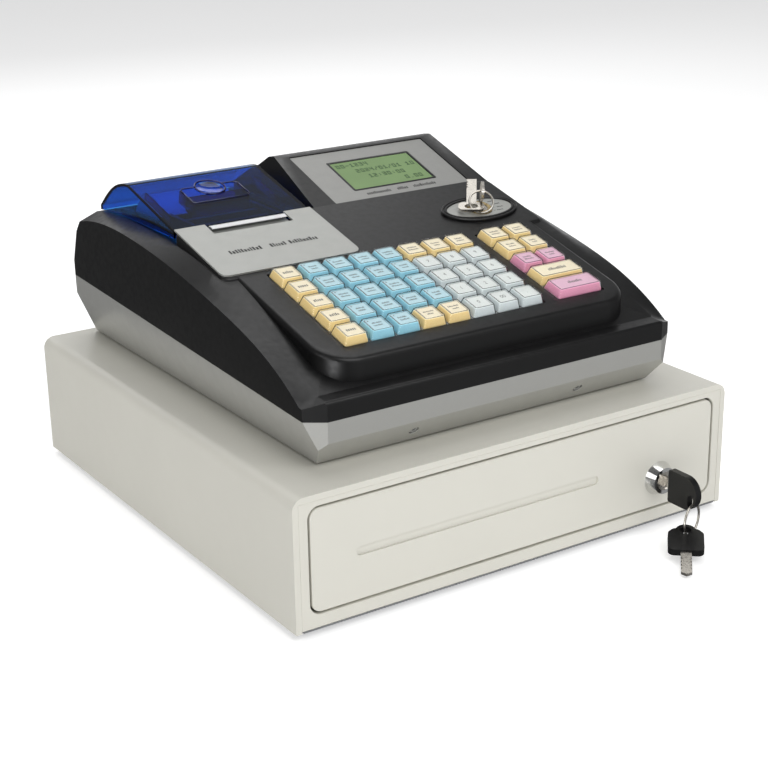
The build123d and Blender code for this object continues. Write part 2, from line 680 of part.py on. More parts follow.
def key_holes():
    """The two openings that the key blocks stand in."""
    low = -WALL * 3
    v1 = KEYS_V + ROWS * PITCH + 0.25
    holes = on_plane(deck_plane, rounded(MAIN_X - 0.25, MAIN_X + COLUMNS * PITCH + 0.25, KEYS_V - 0.25, v1, 1), low, 5)
    return holes + on_plane(deck_plane, rounded(SIDE_X - 0.25, SIDE_X + 2 * PITCH + 0.25, KEYS_V - 0.25, v1, 1), low, 5)


WELL = (-119.0, -31.0, 37.5, 147.5)         # opening under the printer cover
BUCKET = (-112.0, -37.0, 88.0, 150.0, 144.0)  # paper bucket: x, x, y, y, floor


def upper_case():
    """Black upper half with the keyboard deck, the key openings and the printer well."""
    solid = upper_body(0) + deck_body(0)
    case = solid - upper_body(WALL) - deck_body(WALL)
    case -= key_holes()
    x0, x1, y0, y1 = WELL
    case -= block(x0, x1, y0, y1, 160, BIG)
    slot_v0 = PRINTER_V[0] + 10
    case -= on_plane(deck_plane, rounded(SLOT_X[0] - 6, SLOT_X[1] + 6, slot_v0, PRINTER_V[1] + 2, 2), -8, 6)
    x0, x1, y0, y1, low = BUCKET
    bucket = block(x0, x1, y0, y1, low, 189) - block(x0 + 2, x1 - 2, y0 + 2, y1 - 2, low + 2, 190)
    bucket += block(x0, x1, y1 - 2, HOUSE_BACK - WALL / 2, 165, 167)
    case += bucket & solid
    case -= on_plane(deck_plane, Pos(MODE_X, MODE_V) * Circle(MODE_BODY_R + 0.1), -10, 5)
    for x in (PLATE_X[0] + 4.2, PLATE_X[1] - 3.6):
        for v in (PLATE_V[0] + 16, PLATE_V[1] - 16):
            case += on_plane(deck_plane, Pos(x, v) * Circle(2.4), PLATE_HIGH, -WALL / 2)
    return case


# ------------------------------------------------------------------ keyboard
def column_x(column):
    return MAIN_X + PITCH * (column + 0.5)


def row_v(row):
    """Distance of a key row's middle up the deck; row 0 is the front row."""
    return KEYS_V + PITCH * (row + 0.5)


def key_places():
    """Middle of every key and its width in keys."""
    places = [(column_x(c), row_v(r), 1) for c in range(COLUMNS) for r in range(ROWS)]
    for row in (0, 1):
        places.append((SIDE_X + PITCH, row_v(row), 2))
    for row in (2, 3, 4):
        for column in (0, 1):
            places.append((SIDE_X + PITCH * (column + 0.5), row_v(row), 1))
    return places


def keyboard_plate():
    """Steel switch plate with a switch body under every key."""
    plate = on_plane(deck_plane, rounded(*PLATE_X, *PLATE_V, 16), PLATE_LOW, PLATE_HIGH)
    switches = []
    for x, v, width in key_places():
        hole = on_plane(deck_plane, Pos(x, v) * Rectangle(SWITCH, SWITCH), PLATE_LOW, PLATE_HIGH)
        plate -= hole
        body = on_plane(deck_plane, Pos(x, v) * Rectangle(SWITCH, SWITCH), SWITCH_LOW, SWITCH_HIGH)
        pocket = on_plane(deck_plane, Pos(x, v) * Rectangle(STEM + 0.6, STEM + 0.6), SWITCH_POCKET, 0)
        switches.append(body - pocket)
    return Compound(children=[plate] + switches)


def key_cap(x, v, width):
    """One key: a tapered cap with a dished top and a square stem."""
    grow = (width - 1) * PITCH
    cap = frustum(deck_plane, x, v, (KEY_BASE + grow, KEY_BASE), (KEY_TOP + grow, KEY_TOP), KEY_SKIRT, KEY_HIGH)
    stem = on_plane(deck_plane, Pos(x, v) * Rectangle(STEM, STEM), STEM_LOW, KEY_SKIRT)
    return cap + stem


def main_keys(spots):
    """Keys of the main block at (column, row) places."""
    return [key_cap(column_x(c), row_v(r), 1) for c, r in spots]


def key_nodes():
    """Every key by node name. Keys that are alike and have no digit stand in banks."""
    nodes = {"key_0": main_keys([(5, 0)]), "key_00": main_keys([(6, 0)]), "key_point": main_keys([(7, 0)])}
    for digit in range(1, 10):
        row = 1 + (digit - 1) // 3
        column = 5 + (digit - 1) % 3
        nodes["key_%d" % digit] = main_keys([(column, row)])
    nodes["key_cash"] = [key_cap(SIDE_X + PITCH, row_v(0), 2)]
    nodes["key_total"] = [key_cap(SIDE_X + PITCH, row_v(1), 2)]
    cream = [(0, r) for r in range(ROWS)] + [(3, 0), (4, 0)] + [(c, ROWS - 1) for c in (5, 6, 7)]
    right = [key_cap(SIDE_X + PITCH * (c + 0.5), row_v(r), 1) for c in (0, 1) for r in (3, 4)]
    nodes["function_keys"] = main_keys(cream) + right
    nodes["department_keys"] = main_keys([(c, r) for c in (1, 2, 3, 4) for r in (1, 2, 3, 4)] + [(1, 0), (2, 0)])
    nodes["register_keys"] = [key_cap(SIDE_X + PITCH * (c + 0.5), row_v(2), 1) for c in (0, 1)]
    return nodes


# ------------------------------------------------------------------ display pod
def pod_solid(inset):
    """Wedge with a leaning left side; its face lies on the pod's plane."""
    v1 = POD_LENGTH - inset
    run = cos(radians(POD_ANGLE))
    rise = sin(radians(POD_ANGLE))
    low = TOP_Z - 8 if inset else TOP_Z
    drop = inset / cos(radians(POD_ANGLE))
    face = outline([(POD_Y - 1 + inset, low), (POD_Y - 1 + inset, POD_Z - 1), (POD_Y + inset, POD_Z - drop),
                    (POD_Y + v1 * run, POD_Z + v1 * rise - drop), (POD_Y + v1 * run + 7, POD_Z + v1 * rise - drop - 1),
                    (152 - inset * 2, low)])
    left = POD_LEFT + inset
    right = POD_RIGHT - inset
    top = POD_Z + POD_LENGTH * rise
    front = outline([(left - POD_SIDE_FLARE, low), (left - POD_SIDE_FLARE, TOP_Z), (left, top), (right - 2, top),
                     (right, TOP_Z), (right, low)])
    return slab_x(face, -BIG, BIG) & slab_y(front, -BIG, BIG)


def display_bezel():
    """Black pod with a shallow recess for the panel; open underneath."""
    pod = pod_solid(0) - pod_solid(WALL)
    keep_out = upper_body(0) + deck_body(0)
    pod -= keep_out
    x0, x1, v0, v1 = PANEL
    pod += on_plane(pod_plane, rounded(x0 - 4, x1 + 9, v0 - 3, v1 + 1, 3), -4, -WALL)
    pod -= on_plane(pod_plane, rounded(x0 - 0.4, x1 + 0.4, v0 - 0.4, v1 + 0.4, 1), -PANEL_T - 0.6, 4)
    gx0, gx1, gv0, gv1 = GLASS
    return pod - on_plane(pod_plane, rounded(gx0, gx1, gv0, gv1, 1), -8, 4)


def display_panel():
    x0, x1, v0, v1 = PANEL
    panel = on_plane(pod_plane, rounded(x0, x1, v0, v1, 1), -PANEL_T - 0.6, -0.6)
    gx0, gx1, gv0, gv1 = GLASS
    return panel - on_plane(pod_plane, rounded(gx0 + 1, gx1 - 1, gv0 + 1, gv1 - 1, 1), -8, 4)


def lcd_glass():
    """Display cell pressed up behind the panel's window."""
    gx0, gx1, gv0, gv1 = GLASS
    back = -PANEL_T - 0.6
    cell = on_plane(pod_plane, rounded(gx0 + 0.2, gx1 - 0.2, gv0 + 0.2, gv1 - 0.2, 1), back - GLASS_T, back)
    lens = on_plane(pod_plane, rounded(gx0 + 1.2, gx1 - 1.2, gv0 + 1.2, gv1 - 1.2, 0.8), back, -0.9)
    return cell + lens


# ------------------------------------------------------------------ printer
def cover_section(inset):
    """Side outline of the printer cover: a straight slope and a round rear fall down to the case."""
    low = TOP_Z - 6 if inset else TOP_Z + 0.6
    slope = [(COVER_FRONT + inset, 195 - inset), (104, 212.8 - inset)]
    arc = [(104, 212.8 - inset), (117, 211 - inset), (130, 205.4 - inset), (142.5 - inset / 2, 196.6 - inset)]
    arc.append((150.5 - inset, 189.8))
    rim = [(150.5 - inset, 186.6), (120, 189.4)] if inset == 0 else [(150.5 - inset, low), (120, low)]
    edges = [Line((COVER_FRONT + inset, low), slope[0]), Line(slope[0], slope[1]), Spline(*arc)]
    edges += [Line(arc[-1], rim[0]), Line(rim[0], rim[1]), Line(rim[1], (COVER_FRONT + inset, low))]
    return make_face(edges)


def printer_cover():
    """Clear hinged hood over the paper roll, with a thumb dimple and a recessed catch."""
    cover = slab_x(cover_section(0), PRINTER_LEFT, PRINTER_RIGHT - 0.5)
    cover -= slab_x(cover_section(COVER_WALL), PRINTER_LEFT + COVER_WALL, PRINTER_RIGHT - 0.5 - COVER_WALL)
    slope = Plane((0, COVER_FRONT, 195), x_dir=(1, 0, 0),
                  z_dir=(0, -sin(radians(DECK_ANGLE)), cos(radians(DECK_ANGLE))))
    dimple = slope * Pos(-74, 50, 29.0) * Sphere(30)
    return cover - dimple


def printer_plate():
    """Silver plate on the deck with a bevelled recess that the paper leaves through."""
    v0, v1 = PRINTER_V
    face = rounded(PRINTER_LEFT, PRINTER_RIGHT, v0, v1 + 8, 6)
    face &= outline([(PRINTER_LEFT, v0), (PRINTER_RIGHT, v0), (PRINTER_RIGHT, v1), (PRINTER_LEFT, v1)])
    plate = on_plane(deck_plane, face, 0, PRINTER_PLATE_T)
    x0, x1 = SLOT_X
    recess = on_plane(deck_plane, outline([(x0, SLOT_V), (x1, SLOT_V), (x1, v1 + 1), (x0, v1 + 1)]), -1, 3)
    ramp = on_plane(deck_plane, outline([(x0, SLOT_V), (x1, SLOT_V), (x1, v1 - 4), (x0, v1 - 4)]), -3, -1.8)
    wall = on_plane(deck_plane, outline([(x0, SLOT_V - 1.2), (x1, SLOT_V - 1.2), (x1, SLOT_V), (x0, SLOT_V)]), -3, 0.5)
    return plate - recess + ramp + wall


def printer_frame():
    """Printer mechanism: two cheeks, a print head bar and a gear case."""
    left = PAPER_X[0] - 3
    right = PAPER_X[1] + 3
    frame = block(left, right, 40, 44, 160, 181)
    frame += block(left, right, 40, 84, 157, 160)
    for x in (left, right):
        cheek = block(x - 1.5, x + 1.5, 40, 84, 157, 192)
        frame += cheek - rod_x(2 + FIT, x - 2, x + 2, PLATEN_Y, PLATEN_Z)
    frame += block(right + 1.5, right + 9, 46, 80, 157, 180)
    frame += block(left + 1.5, right - 1.5, 66, 70, 160, 190)
    return frame


def platen_roller():
    """Rubber roller on its steel shaft."""
    shaft = rod_x(2, PAPER_X[0] - 5, PAPER_X[1] + 5, PLATEN_Y, PLATEN_Z)
    return shaft + rod_x(PLATEN_R, PAPER_X[0] + 1, PAPER_X[1] - 1, PLATEN_Y, PLATEN_Z)


def paper_roll():
    """Roll of till paper on a core; it lies loose in the paper bucket."""
    return rod_x(ROLL_R, *PAPER_X, ROLL_Y, ROLL_Z) - rod_x(CORE_R, *PAPER_X, ROLL_Y, ROLL_Z)


def paper_strip():
    """Free end of the paper, standing in the slot in front of the cover."""
    run = outline([(30.0, 186.0), (30.4, 186.0), (33.6, 196.5), (33.2, 196.5)])
    return slab_x(run, *PAPER_X)


# ------------------------------------------------------------------ mode lock
def mode_lock_plate():
    """Oval plate round the mode lock, its middle sunk below the rim."""
    plate = on_plane(deck_plane, Pos(MODE_X, MODE_V) * Ellipse(*MODE_OVAL), 0, MODE_PLATE_T)
    plate -= on_plane(deck_plane, Pos(MODE_X, MODE_V) * Ellipse(MODE_OVAL[0] - 1.8, MODE_OVAL[1] - 1.8),
                      MODE_PLATE_T - 0.6, MODE_PLATE_T + 1)
    return plate - on_plane(deck_plane, Pos(MODE_X, MODE_V) * Circle(MODE_BODY_R + 0.1), -1, 5)


def mode_lock_body():
    body = on_plane(deck_plane, Pos(MODE_X, MODE_V) * Circle(MODE_BODY_R), -20, MODE_PLATE_T + 0.6)
    return body - on_plane(deck_plane, Pos(MODE_X, MODE_V) * Circle(MODE_PLUG_R + FIT), -25, 10)


def bow_plane():
    """Upright plane of the mode key's bow: X along the bow, Y up the lock's axis."""
    axis = deck_plane.z_dir
    across = Vector(cos(radians(MODE_TURN)), sin(radians(MODE_TURN)), 0)
    across = (across - axis * across.dot(axis)).normalized()
    centre = deck_plane.from_local_coords(Vector(MODE_X, MODE_V, 0))
    return Plane(centre, x_dir=across, z_dir=across.cross(axis))


def mode_lock_plug():
    plug = on_plane(deck_plane, Pos(MODE_X, MODE_V) * Circle(MODE_PLUG_R), -22, MODE_PLATE_T + 0.2)
    keyway = Pos(0, -8) * Rectangle(BLADE_H + 0.4, 22)
    return plug - extrude(bow_plane() * keyway, amount=BOW_T / 2 + 0.1, both=True)


BOW_LOW = 9.4
BOW_HIGH = 19.0
BOW_HOLE = 14.6
BOW_HOLE_R = 1.8


def flat_key(tip, hole):
    """A flat stamped key: T bow, shank and toothed blade, in one plane; the bow's top is at +Y."""
    face = Pos(0, (BOW_LOW + BOW_HIGH) / 2) * RectangleRounded(BOW_W, BOW_HIGH - BOW_LOW, 3.5)
    face += Pos(0, (tip + BOW_LOW + 2) / 2) * Rectangle(BLADE_H, BOW_LOW + 2 - tip)
    for i in range(3):
        face -= Pos(BLADE_H / 2, tip + 4 + 3.4 * i) * Circle(0.9)
    face -= Pos(0, BOW_HOLE) * hole
    return face


def mode_key():
    return extrude(bow_plane() * flat_key(-14, Circle(BOW_HOLE_R)), amount=BOW_T / 2, both=True)


def mode_ring_frame():
    """Centre and directions of the mode key's ring: it leans forward from the bow's hole."""
    hole = bow_plane().from_local_coords(Vector(0, BOW_HOLE, 0))
    side = bow_plane().z_dir
    down = Vector(0, 0, -1)
    ahead = side.cross(down).normalized()
    if ahead.Y > 0:
        ahead = ahead * -1
    lean = radians(39)
    fall = (down - side * down.dot(side)).normalized() * cos(lean) + ahead * sin(lean)
    fall = fall.normalized()
    return hole + fall * MODE_RING_R, side, fall


def mode_key_ring():
    centre, side, fall = mode_ring_frame()
    return ring(centre, side, fall, MODE_RING_R, MODE_RING_WIRE)


MODE_SPARE_AIM = (-23.0, -31.0)
SPARE_ROUND = 52.0          # how far round the ring, from its lowest point, the spare key hangs
SPARE_SLOT = (9.4, 5.8)     # slot in the spare key's bow


def mode_spare_key():
    """Second mode key, threaded on the ring and lying on the deck."""
    centre, side, fall = mode_ring_frame()
    left = side if side.X < 0 else side * -1
    hole = centre + (left * sin(radians(SPARE_ROUND)) + fall * cos(radians(SPARE_ROUND))) * MODE_RING_R
    tip_y = hole.Y + MODE_SPARE_AIM[1]
    tip = Vector(hole.X + MODE_SPARE_AIM[0], tip_y, deck_height(tip_y) + BOW_T / 2 + 0.5)
    aim = (tip - hole).normalized()
    flat = aim.cross(Vector(0, 0, 1)).cross(aim).normalized()
    place = Plane(hole, x_dir=flat.cross(aim) * -1, z_dir=flat)
    face = Pos(0, -BOW_HOLE) * flat_key(-22, SlotOverall(*SPARE_SLOT))
    return extrude(place * face, amount=BOW_T / 2, both=True)


# ------------------------------------------------------------------ inside
def main_board():
    """Circuit board with a processor, a few chips and two connectors."""
    x0, x1, y0, y1 = BOARD
    top = BOARD_LOW + BOARD_T
    board = block(x0, x1, y0, y1, BOARD_LOW, top)
    board += block(-14, 14, -14, 14, top, top + 2)
    for i in range(3):
        board += block(30 + 18 * i, 42 + 18 * i, 20, 46, top, top + 3)
    board += block(-80, -50, -90, -80, top, top + 8)
    return board + block(-60, -20, 88, 100, top, top + 10)


def rear_sockets():
    """Drawer socket and power inlet, set in the rear wall."""
    sockets = []
    z0, z1 = SOCKET_Z
    for x, width in SOCKETS:
        half = width / 2 - 0.2
        body = block(x - half, x + half, HOUSE_BACK - 16, HOUSE_BACK - 0.8, z0 + 0.2, z1 - 0.2)
        mouth = block(x - half + 1.5, x + half - 1.5, HOUSE_BACK - 12, HOUSE_BACK, z0 + 1.7, z1 - 1.7)
        sockets.append(body - mouth)
    return Compound(children=sockets)


# ------------------------------------------------------------------ all nodes
def all_nodes():
    nodes = {
        "cabinet_shell": cabinet_shell(), "cabinet_base": cabinet_base(), "cabinet_bezel": cabinet_bezel(),
        "cabinet_feet": cabinet_feet(), "slide_outer_rails": slide_outer_rails(),
        "slide_inner_rails": slide_inner_rails(), "latch_solenoid": latch_solenoid(),
        "latch_lever": latch_lever(), "drawer_pan": drawer_pan(), "drawer_front": drawer_front(),
        "till_tray": till_tray(), "coin_cups": coin_cups(),
        "drawer_lock_body": drawer_lock_body(), "drawer_lock_plug": drawer_lock_plug(),
        "drawer_key": drawer_key(), "drawer_key_ring": drawer_key_ring(), "drawer_spare_key": drawer_spare_key(),
        "lower_case": lower_case(), "upper_case": upper_case(), "case_screws": case_screws(),
        "keyboard_plate": keyboard_plate(), "display_bezel": display_bezel(), "display_panel": display_panel(),
        "lcd_glass": lcd_glass(), "printer_cover": printer_cover(), "printer_plate": printer_plate(),
        "printer_frame": printer_frame(), "platen_roller": platen_roller(), "paper_roll": paper_roll(),
        "paper_strip": paper_strip(), "mode_lock_plate": mode_lock_plate(), "mode_lock_body": mode_lock_body(),
        "mode_lock_plug": mode_lock_plug(), "mode_key": mode_key(), "mode_key_ring": mode_key_ring(),
        "mode_spare_key": mode_spare_key(), "main_board": main_board(), "rear_sockets": rear_sockets(),
    }
    for i, (x0, x1) in enumerate(bay_edges()):
        nodes["bill_clip_%d" % (i + 1)] = bill_clip(x0, x1)
    for name, caps in key_nodes().items():
        nodes[name] = caps[0] if len(caps) == 1 else Compound(children=caps)
    return nodes


nodes = all_nodes()
front = min(node.bounding_box().min.Y for node in nodes.values())
back = max(node.bounding_box().max.Y for node in nodes.values())
shift = -(front + back) / 2
print("shift in Y: %.6f" % shift, "nodes:", len(nodes))
os.makedirs("parts", exist_ok=True)
for name, node in nodes.items():
    export_step(Pos(0, shift, 0) * node, "parts/%s.step" % name)
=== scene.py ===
import math
import random

import bmesh
import bpy
from mathutils import Matrix, Vector


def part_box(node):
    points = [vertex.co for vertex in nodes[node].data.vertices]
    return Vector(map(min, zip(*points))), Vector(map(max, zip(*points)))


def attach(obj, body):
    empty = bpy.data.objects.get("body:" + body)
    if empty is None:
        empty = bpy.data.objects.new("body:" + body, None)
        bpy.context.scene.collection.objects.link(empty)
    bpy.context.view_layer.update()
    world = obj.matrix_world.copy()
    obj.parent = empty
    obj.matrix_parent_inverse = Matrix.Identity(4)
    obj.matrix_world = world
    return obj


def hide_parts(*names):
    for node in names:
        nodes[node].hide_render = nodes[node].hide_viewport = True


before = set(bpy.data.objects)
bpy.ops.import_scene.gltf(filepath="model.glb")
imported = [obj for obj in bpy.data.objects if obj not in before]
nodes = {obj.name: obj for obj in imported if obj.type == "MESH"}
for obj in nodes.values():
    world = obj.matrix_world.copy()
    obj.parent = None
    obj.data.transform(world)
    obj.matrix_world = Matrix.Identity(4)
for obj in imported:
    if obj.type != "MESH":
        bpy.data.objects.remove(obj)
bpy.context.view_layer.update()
scene = bpy.context.scene

# Places below are in millimetres about the middle of the cabinet's foot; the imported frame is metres,
# moved along Y so that its origin is the middle of the whole object.
MM = 0.001
cab_low, cab_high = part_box("cabinet_shell")
SHIFT = (cab_low.y + cab_high.y) / 2
HOME = Matrix.Translation((0, SHIFT, 0)) @ Matrix.Scale(MM, 4)
DECK_TILT = math.radians(14.0)
POD_TILT = math.radians(18.5)


def tilted(origin, tilt):
    """Millimetre frame of a sloping face: X across, Y up the slope, Z out of the face."""
    return HOME @ Matrix.Translation(origin) @ Matrix.Rotation(tilt, 4, "X")


DECK = tilted((0, -142.7, 150.8), DECK_TILT)
POD = tilted((0, 31.0, 192.0), POD_TILT)


# ------------------------------------------------------------------ mesh helpers
LEAST_RADIUS = 0.02


def finish_mesh(name, bm, materials, body, place=HOME, smooth=30.0):
    """Turns a bmesh in millimetres into a piece that rides on a body."""
    bmesh.ops.remove_doubles(bm, verts=bm.verts, dist=1e-4)
    bmesh.ops.recalc_face_normals(bm, faces=bm.faces)
    bmesh.ops.transform(bm, matrix=place, verts=bm.verts)
    for face in bm.faces:
        face.smooth = True
    limit = math.radians(smooth)
    for edge in bm.edges:
        if len(edge.link_faces) == 2 and edge.calc_face_angle(0) > limit:
            edge.smooth = False
    mesh = bpy.data.meshes.new(name)
    bm.to_mesh(mesh)
    bm.free()
    for material in materials:
        mesh.materials.append(material)
    piece = bpy.data.objects.new(name, mesh)
    scene.collection.objects.link(piece)
    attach(piece, body)
    return piece


def ring_rect(cx, cy, w, d, radius, z, steps=4):
    """Rounded rectangle as a ring of points at one height."""
    points = []
    for sx, sy, start in ((1, 1, 0), (-1, 1, 90), (-1, -1, 180), (1, -1, 270)):
        mx = cx + sx * (w / 2 - radius)
        my = cy + sy * (d / 2 - radius)
        for i in range(steps + 1):
            angle = math.radians(start + 90 * i / steps)
            points.append(Vector((mx + radius * math.cos(angle), my + radius * math.sin(angle), z)))
    return points


def ring_oval(cx, cy, rx, ry, z, steps=48):
    """Oval as a ring of points at one height."""
    turns = [2 * math.pi * i / steps for i in range(steps)]
    return [Vector((cx + rx * math.cos(turn), cy + ry * math.sin(turn), z)) for turn in turns]


def skin(bm, rings, index=0, close=True, loop=False):
    """Joins rings of equal length with faces; caps both ends, or joins the last ring to the first."""
    rows = [[bm.verts.new(p) for p in ring] for ring in rings]
    pairs = list(zip(rows, rows[1:])) + ([(rows[-1], rows[0])] if loop else [])
    made = []
    for a, b in pairs:
        n = len(a)
        for i in range(n):
            made.append(bm.faces.new((a[i], a[(i + 1) % n], b[(i + 1) % n], b[i])))
    if close and not loop:
        made.append(bm.faces.new(list(reversed(rows[0]))))
        made.append(bm.faces.new(rows[-1]))
    for face in made:
        face.material_index = index
    return made


def slab(bm, x0, x1, y0, y1, z0, z1, radius=0.0, edge=0.0, index=0):
    """Box with rounded upright corners and a softened top edge."""
    cx, cy, w, d = (x0 + x1) / 2, (y0 + y1) / 2, x1 - x0, y1 - y0
    radius = max(radius, LEAST_RADIUS)
    if edge:
        rings = [ring_rect(cx, cy, w, d, radius, z0), ring_rect(cx, cy, w, d, radius, z1 - edge)]
        for t in (30, 60, 90):
            out = edge * (1 - math.cos(math.radians(t)))
            up = edge * math.sin(math.radians(t))
            rings.append(ring_rect(cx, cy, w - 2 * out, d - 2 * out, max(radius - out, 0.01), z1 - edge + up))
    else:
        rings = [ring_rect(cx, cy, w, d, radius, z0), ring_rect(cx, cy, w, d, radius, z1)]
    skin(bm, rings, index)


def text_mesh(bm, body, size, cx, cy, z, index, stretch=1.0):
    """Adds flat digits to a bmesh, centred on a point."""
    curve = bpy.data.curves.new("digits", "FONT")
    curve.body = body
    curve.size = size
    curve.align_x = "CENTER"
    curve.align_y = "CENTER"
    curve.extrude = 0.03
    holder = bpy.data.objects.new("digits", curve)
    scene.collection.objects.link(holder)
    bpy.context.view_layer.update()
    depsgraph = bpy.context.evaluated_depsgraph_get()
    mesh = bpy.data.meshes.new_from_object(holder.evaluated_get(depsgraph))
    bpy.data.objects.remove(holder)
    bpy.data.curves.remove(curve)
    first = len(bm.faces)
    before = len(bm.verts)
    bm.from_mesh(mesh)
    bm.verts.ensure_lookup_table()
    bm.faces.ensure_lookup_table()
    for vert in bm.verts[before:]:
        vert.co = Vector((cx + vert.co.x * stretch, cy + vert.co.y, z + vert.co.z))
    for face in bm.faces[first:]:
        face.material_index = index
    bpy.data.meshes.remove(mesh)


# ------------------------------------------------------------------ materials
class Shader:
    """A Principled material with helpers for its procedural detail. Lengths are in millimetres."""

    def __init__(self, name, colour, roughness, metallic=0.0, **sockets):
        self.material = bpy.data.materials.get(name + "_look") or bpy.data.materials.new(name + "_look")
        self.material.use_nodes = True
        self.tree = self.material.node_tree
        self.tree.nodes.clear()
        self.out = self.node("ShaderNodeOutputMaterial")
        self.main = self.node("ShaderNodeBsdfPrincipled")
        self.link(self.main.outputs[0], self.out.inputs[0])
        self.colour = colour
        self.set("Base Color", (*colour, 1))
        self.set("Roughness", roughness)
        self.set("Metallic", metallic)
        for key, value in sockets.items():
            self.set(key.replace("_", " ").title().replace("Ior", "IOR"), value)
        self.coordinates = self.node("ShaderNodeTexCoord").outputs["Object"]
        self.normal = None

    def node(self, kind, **settings):
        made = self.tree.nodes.new(kind)
        for key, value in settings.items():
            setattr(made, key, value)
        return made

    def link(self, a, b):
        self.tree.links.new(a, b)

    def set(self, socket, value):
        self.main.inputs[socket].default_value = value

    def noise(self, size, detail=3.0, rough=0.5, stretch=(1, 1, 1)):
        """Noise value whose features are about size millimetres wide."""
        place = self.node("ShaderNodeMapping")
        place.inputs["Scale"].default_value = tuple(s / (size * MM) for s in stretch)
        self.link(self.coordinates, place.inputs["Vector"])
        made = self.node("ShaderNodeTexNoise")
        made.inputs["Scale"].default_value = 1.0
        made.inputs["Detail"].default_value = detail
        made.inputs["Roughness"].default_value = rough
        self.link(place.outputs[0], made.inputs["Vector"])
        return made.outputs["Fac"]

    def cells(self, size, feature="F1"):
        place = self.node("ShaderNodeMapping")
        place.inputs["Scale"].default_value = (1 / (size * MM),) * 3
        self.link(self.coordinates, place.inputs["Vector"])
        made = self.node("ShaderNodeTexVoronoi", feature=feature)
        made.inputs["Scale"].default_value = 1.0
        self.link(place.outputs[0], made.inputs["Vector"])
        return made.outputs["Distance"]

    def ramp(self, value, stops):
        made = self.node("ShaderNodeValToRGB")
        elements = made.color_ramp.elements
        while len(elements) < len(stops):
            elements.new(0.5)
        for element, (place, colour) in zip(elements, stops):
            element.position = place
            element.color = (*colour, 1) if len(colour) == 3 else colour
        self.link(value, made.inputs[0])
        return made.outputs[0]

    def span(self, value, low, high, start=0.3, end=0.7):
        made = self.node("ShaderNodeMapRange")
        made.inputs["From Min"].default_value = start
        made.inputs["From Max"].default_value = end
        made.inputs["To Min"].default_value = low
        made.inputs["To Max"].default_value = high
        self.link(value, made.inputs["Value"])
        return made.outputs[0]

    def tint(self, value, spread, start=0.3, end=0.7):
        """Varies the base colour by a share of itself."""
        dark = tuple(c * (1 - spread) for c in self.colour)
        light = tuple(min(1.0, c * (1 + spread)) for c in self.colour)
        self.link(self.ramp(value, [(start, dark), (end, light)]), self.main.inputs["Base Color"])
        return self

    def roughen(self, value, low, high, start=0.3, end=0.7):
        self.link(self.span(value, low, high, start, end), self.main.inputs["Roughness"])
        return self

    def bump(self, value, depth, strength=1.0):
        """Raises the surface by depth millimetres where value is high."""
        made = self.node("ShaderNodeBump")
        made.inputs["Distance"].default_value = depth * MM
        made.inputs["Strength"].default_value = strength
        self.link(value, made.inputs["Height"])
        if self.normal is not None:
            self.link(self.normal, made.inputs["Normal"])
        self.normal = made.outputs[0]
        self.link(self.normal, self.main.inputs["Normal"])
        return self


def srgb(r, g, b):
    """Linear colour of an 8-bit sRGB colour."""
    def linear(c):
        c /= 255
        return c / 12.92 if c <= 0.04045 else ((c + 0.055) / 1.055) ** 2.4
    return linear(r), linear(g), linear(b)


def paint(name, colour, roughness=0.38):
    """Baked enamel on sheet steel: fine orange peel and faint clouding."""
    look = Shader(name, colour, roughness, specular_ior_level=0.5, coat_weight=0.15, coat_roughness=0.25)
    look.tint(look.noise(60, 4), 0.012)
    look.roughen(look.noise(12, 3), roughness - 0.05, roughness + 0.06)
    look.bump(look.noise(1.3, 2), 0.012).bump(look.noise(0.25, 2), 0.003)
    return look.material


def plastic(name, colour, roughness=0.42, grain=0.35, depth=0.012, spread=0.05):
    """Moulded plastic with a fine spark-eroded grain."""
    look = Shader(name, colour, roughness, specular_ior_level=0.36)
    look.tint(look.noise(35, 4), spread)
    look.roughen(look.noise(4, 4), roughness - 0.05, roughness + 0.07)
    look.bump(look.noise(grain, 2, 0.6), depth)
    return look.material


def metallic_paint(name, colour, roughness=0.4):
    """Silver-painted plastic with fine flake."""
    look = Shader(name, colour, roughness, 0.55, specular_ior_level=0.5, coat_weight=0.2,
                  coat_roughness=0.2)
    look.tint(look.cells(0.18), 0.05, 0.1, 0.7)
    look.roughen(look.noise(8, 4), roughness - 0.05, roughness + 0.06)
    look.bump(look.noise(0.3, 2), 0.004)
    return look.material


def metal(name, colour, roughness=0.25, size=3.0, scratch=0.01, stretch=(1, 1, 1)):
    """Plated or worn metal with fine drawn scratches."""
    look = Shader(name, colour, roughness, 1.0)
    look.tint(look.noise(size * 3, 5), 0.06)
    look.roughen(look.noise(size, 5, 0.7, stretch), roughness * 0.6, roughness * 1.5)
    look.bump(look.noise(size * 0.12, 4, 0.7, stretch), scratch)
    return look.material


def clear(name, colour, roughness=0.04, ior=1.45, pass_colour=None, ripple=0.01):
    """Clear plastic that lamps shine through."""
    look = Shader(name, colour, roughness, transmission_weight=1.0, ior=ior)
    look.roughen(look.noise(9, 3), roughness * 0.6, roughness * 1.6)
    if ripple:
        look.bump(look.noise(5, 2), ripple)
    path = look.node("ShaderNodeLightPath")
    pass_through = look.node("ShaderNodeBsdfTransparent")
    pass_through.inputs[0].default_value = (*(pass_colour or colour), 1)
    mix = look.node("ShaderNodeMixShader")
    look.link(path.outputs["Is Shadow Ray"], mix.inputs[0])
    look.link(look.main.outputs[0], mix.inputs[1])
    look.link(pass_through.outputs[0], mix.inputs[2])
    look.link(mix.outputs[0], look.out.inputs[0])
    return look.material


def paper_look(name, colour):
    """Matt paper with faint fibre."""
    look = Shader(name, colour, 0.75, specular_ior_level=0.3)
    look.tint(look.noise(0.6, 5, 0.7), 0.02)
    look.bump(look.noise(0.25, 4), 0.006)
    return look.material


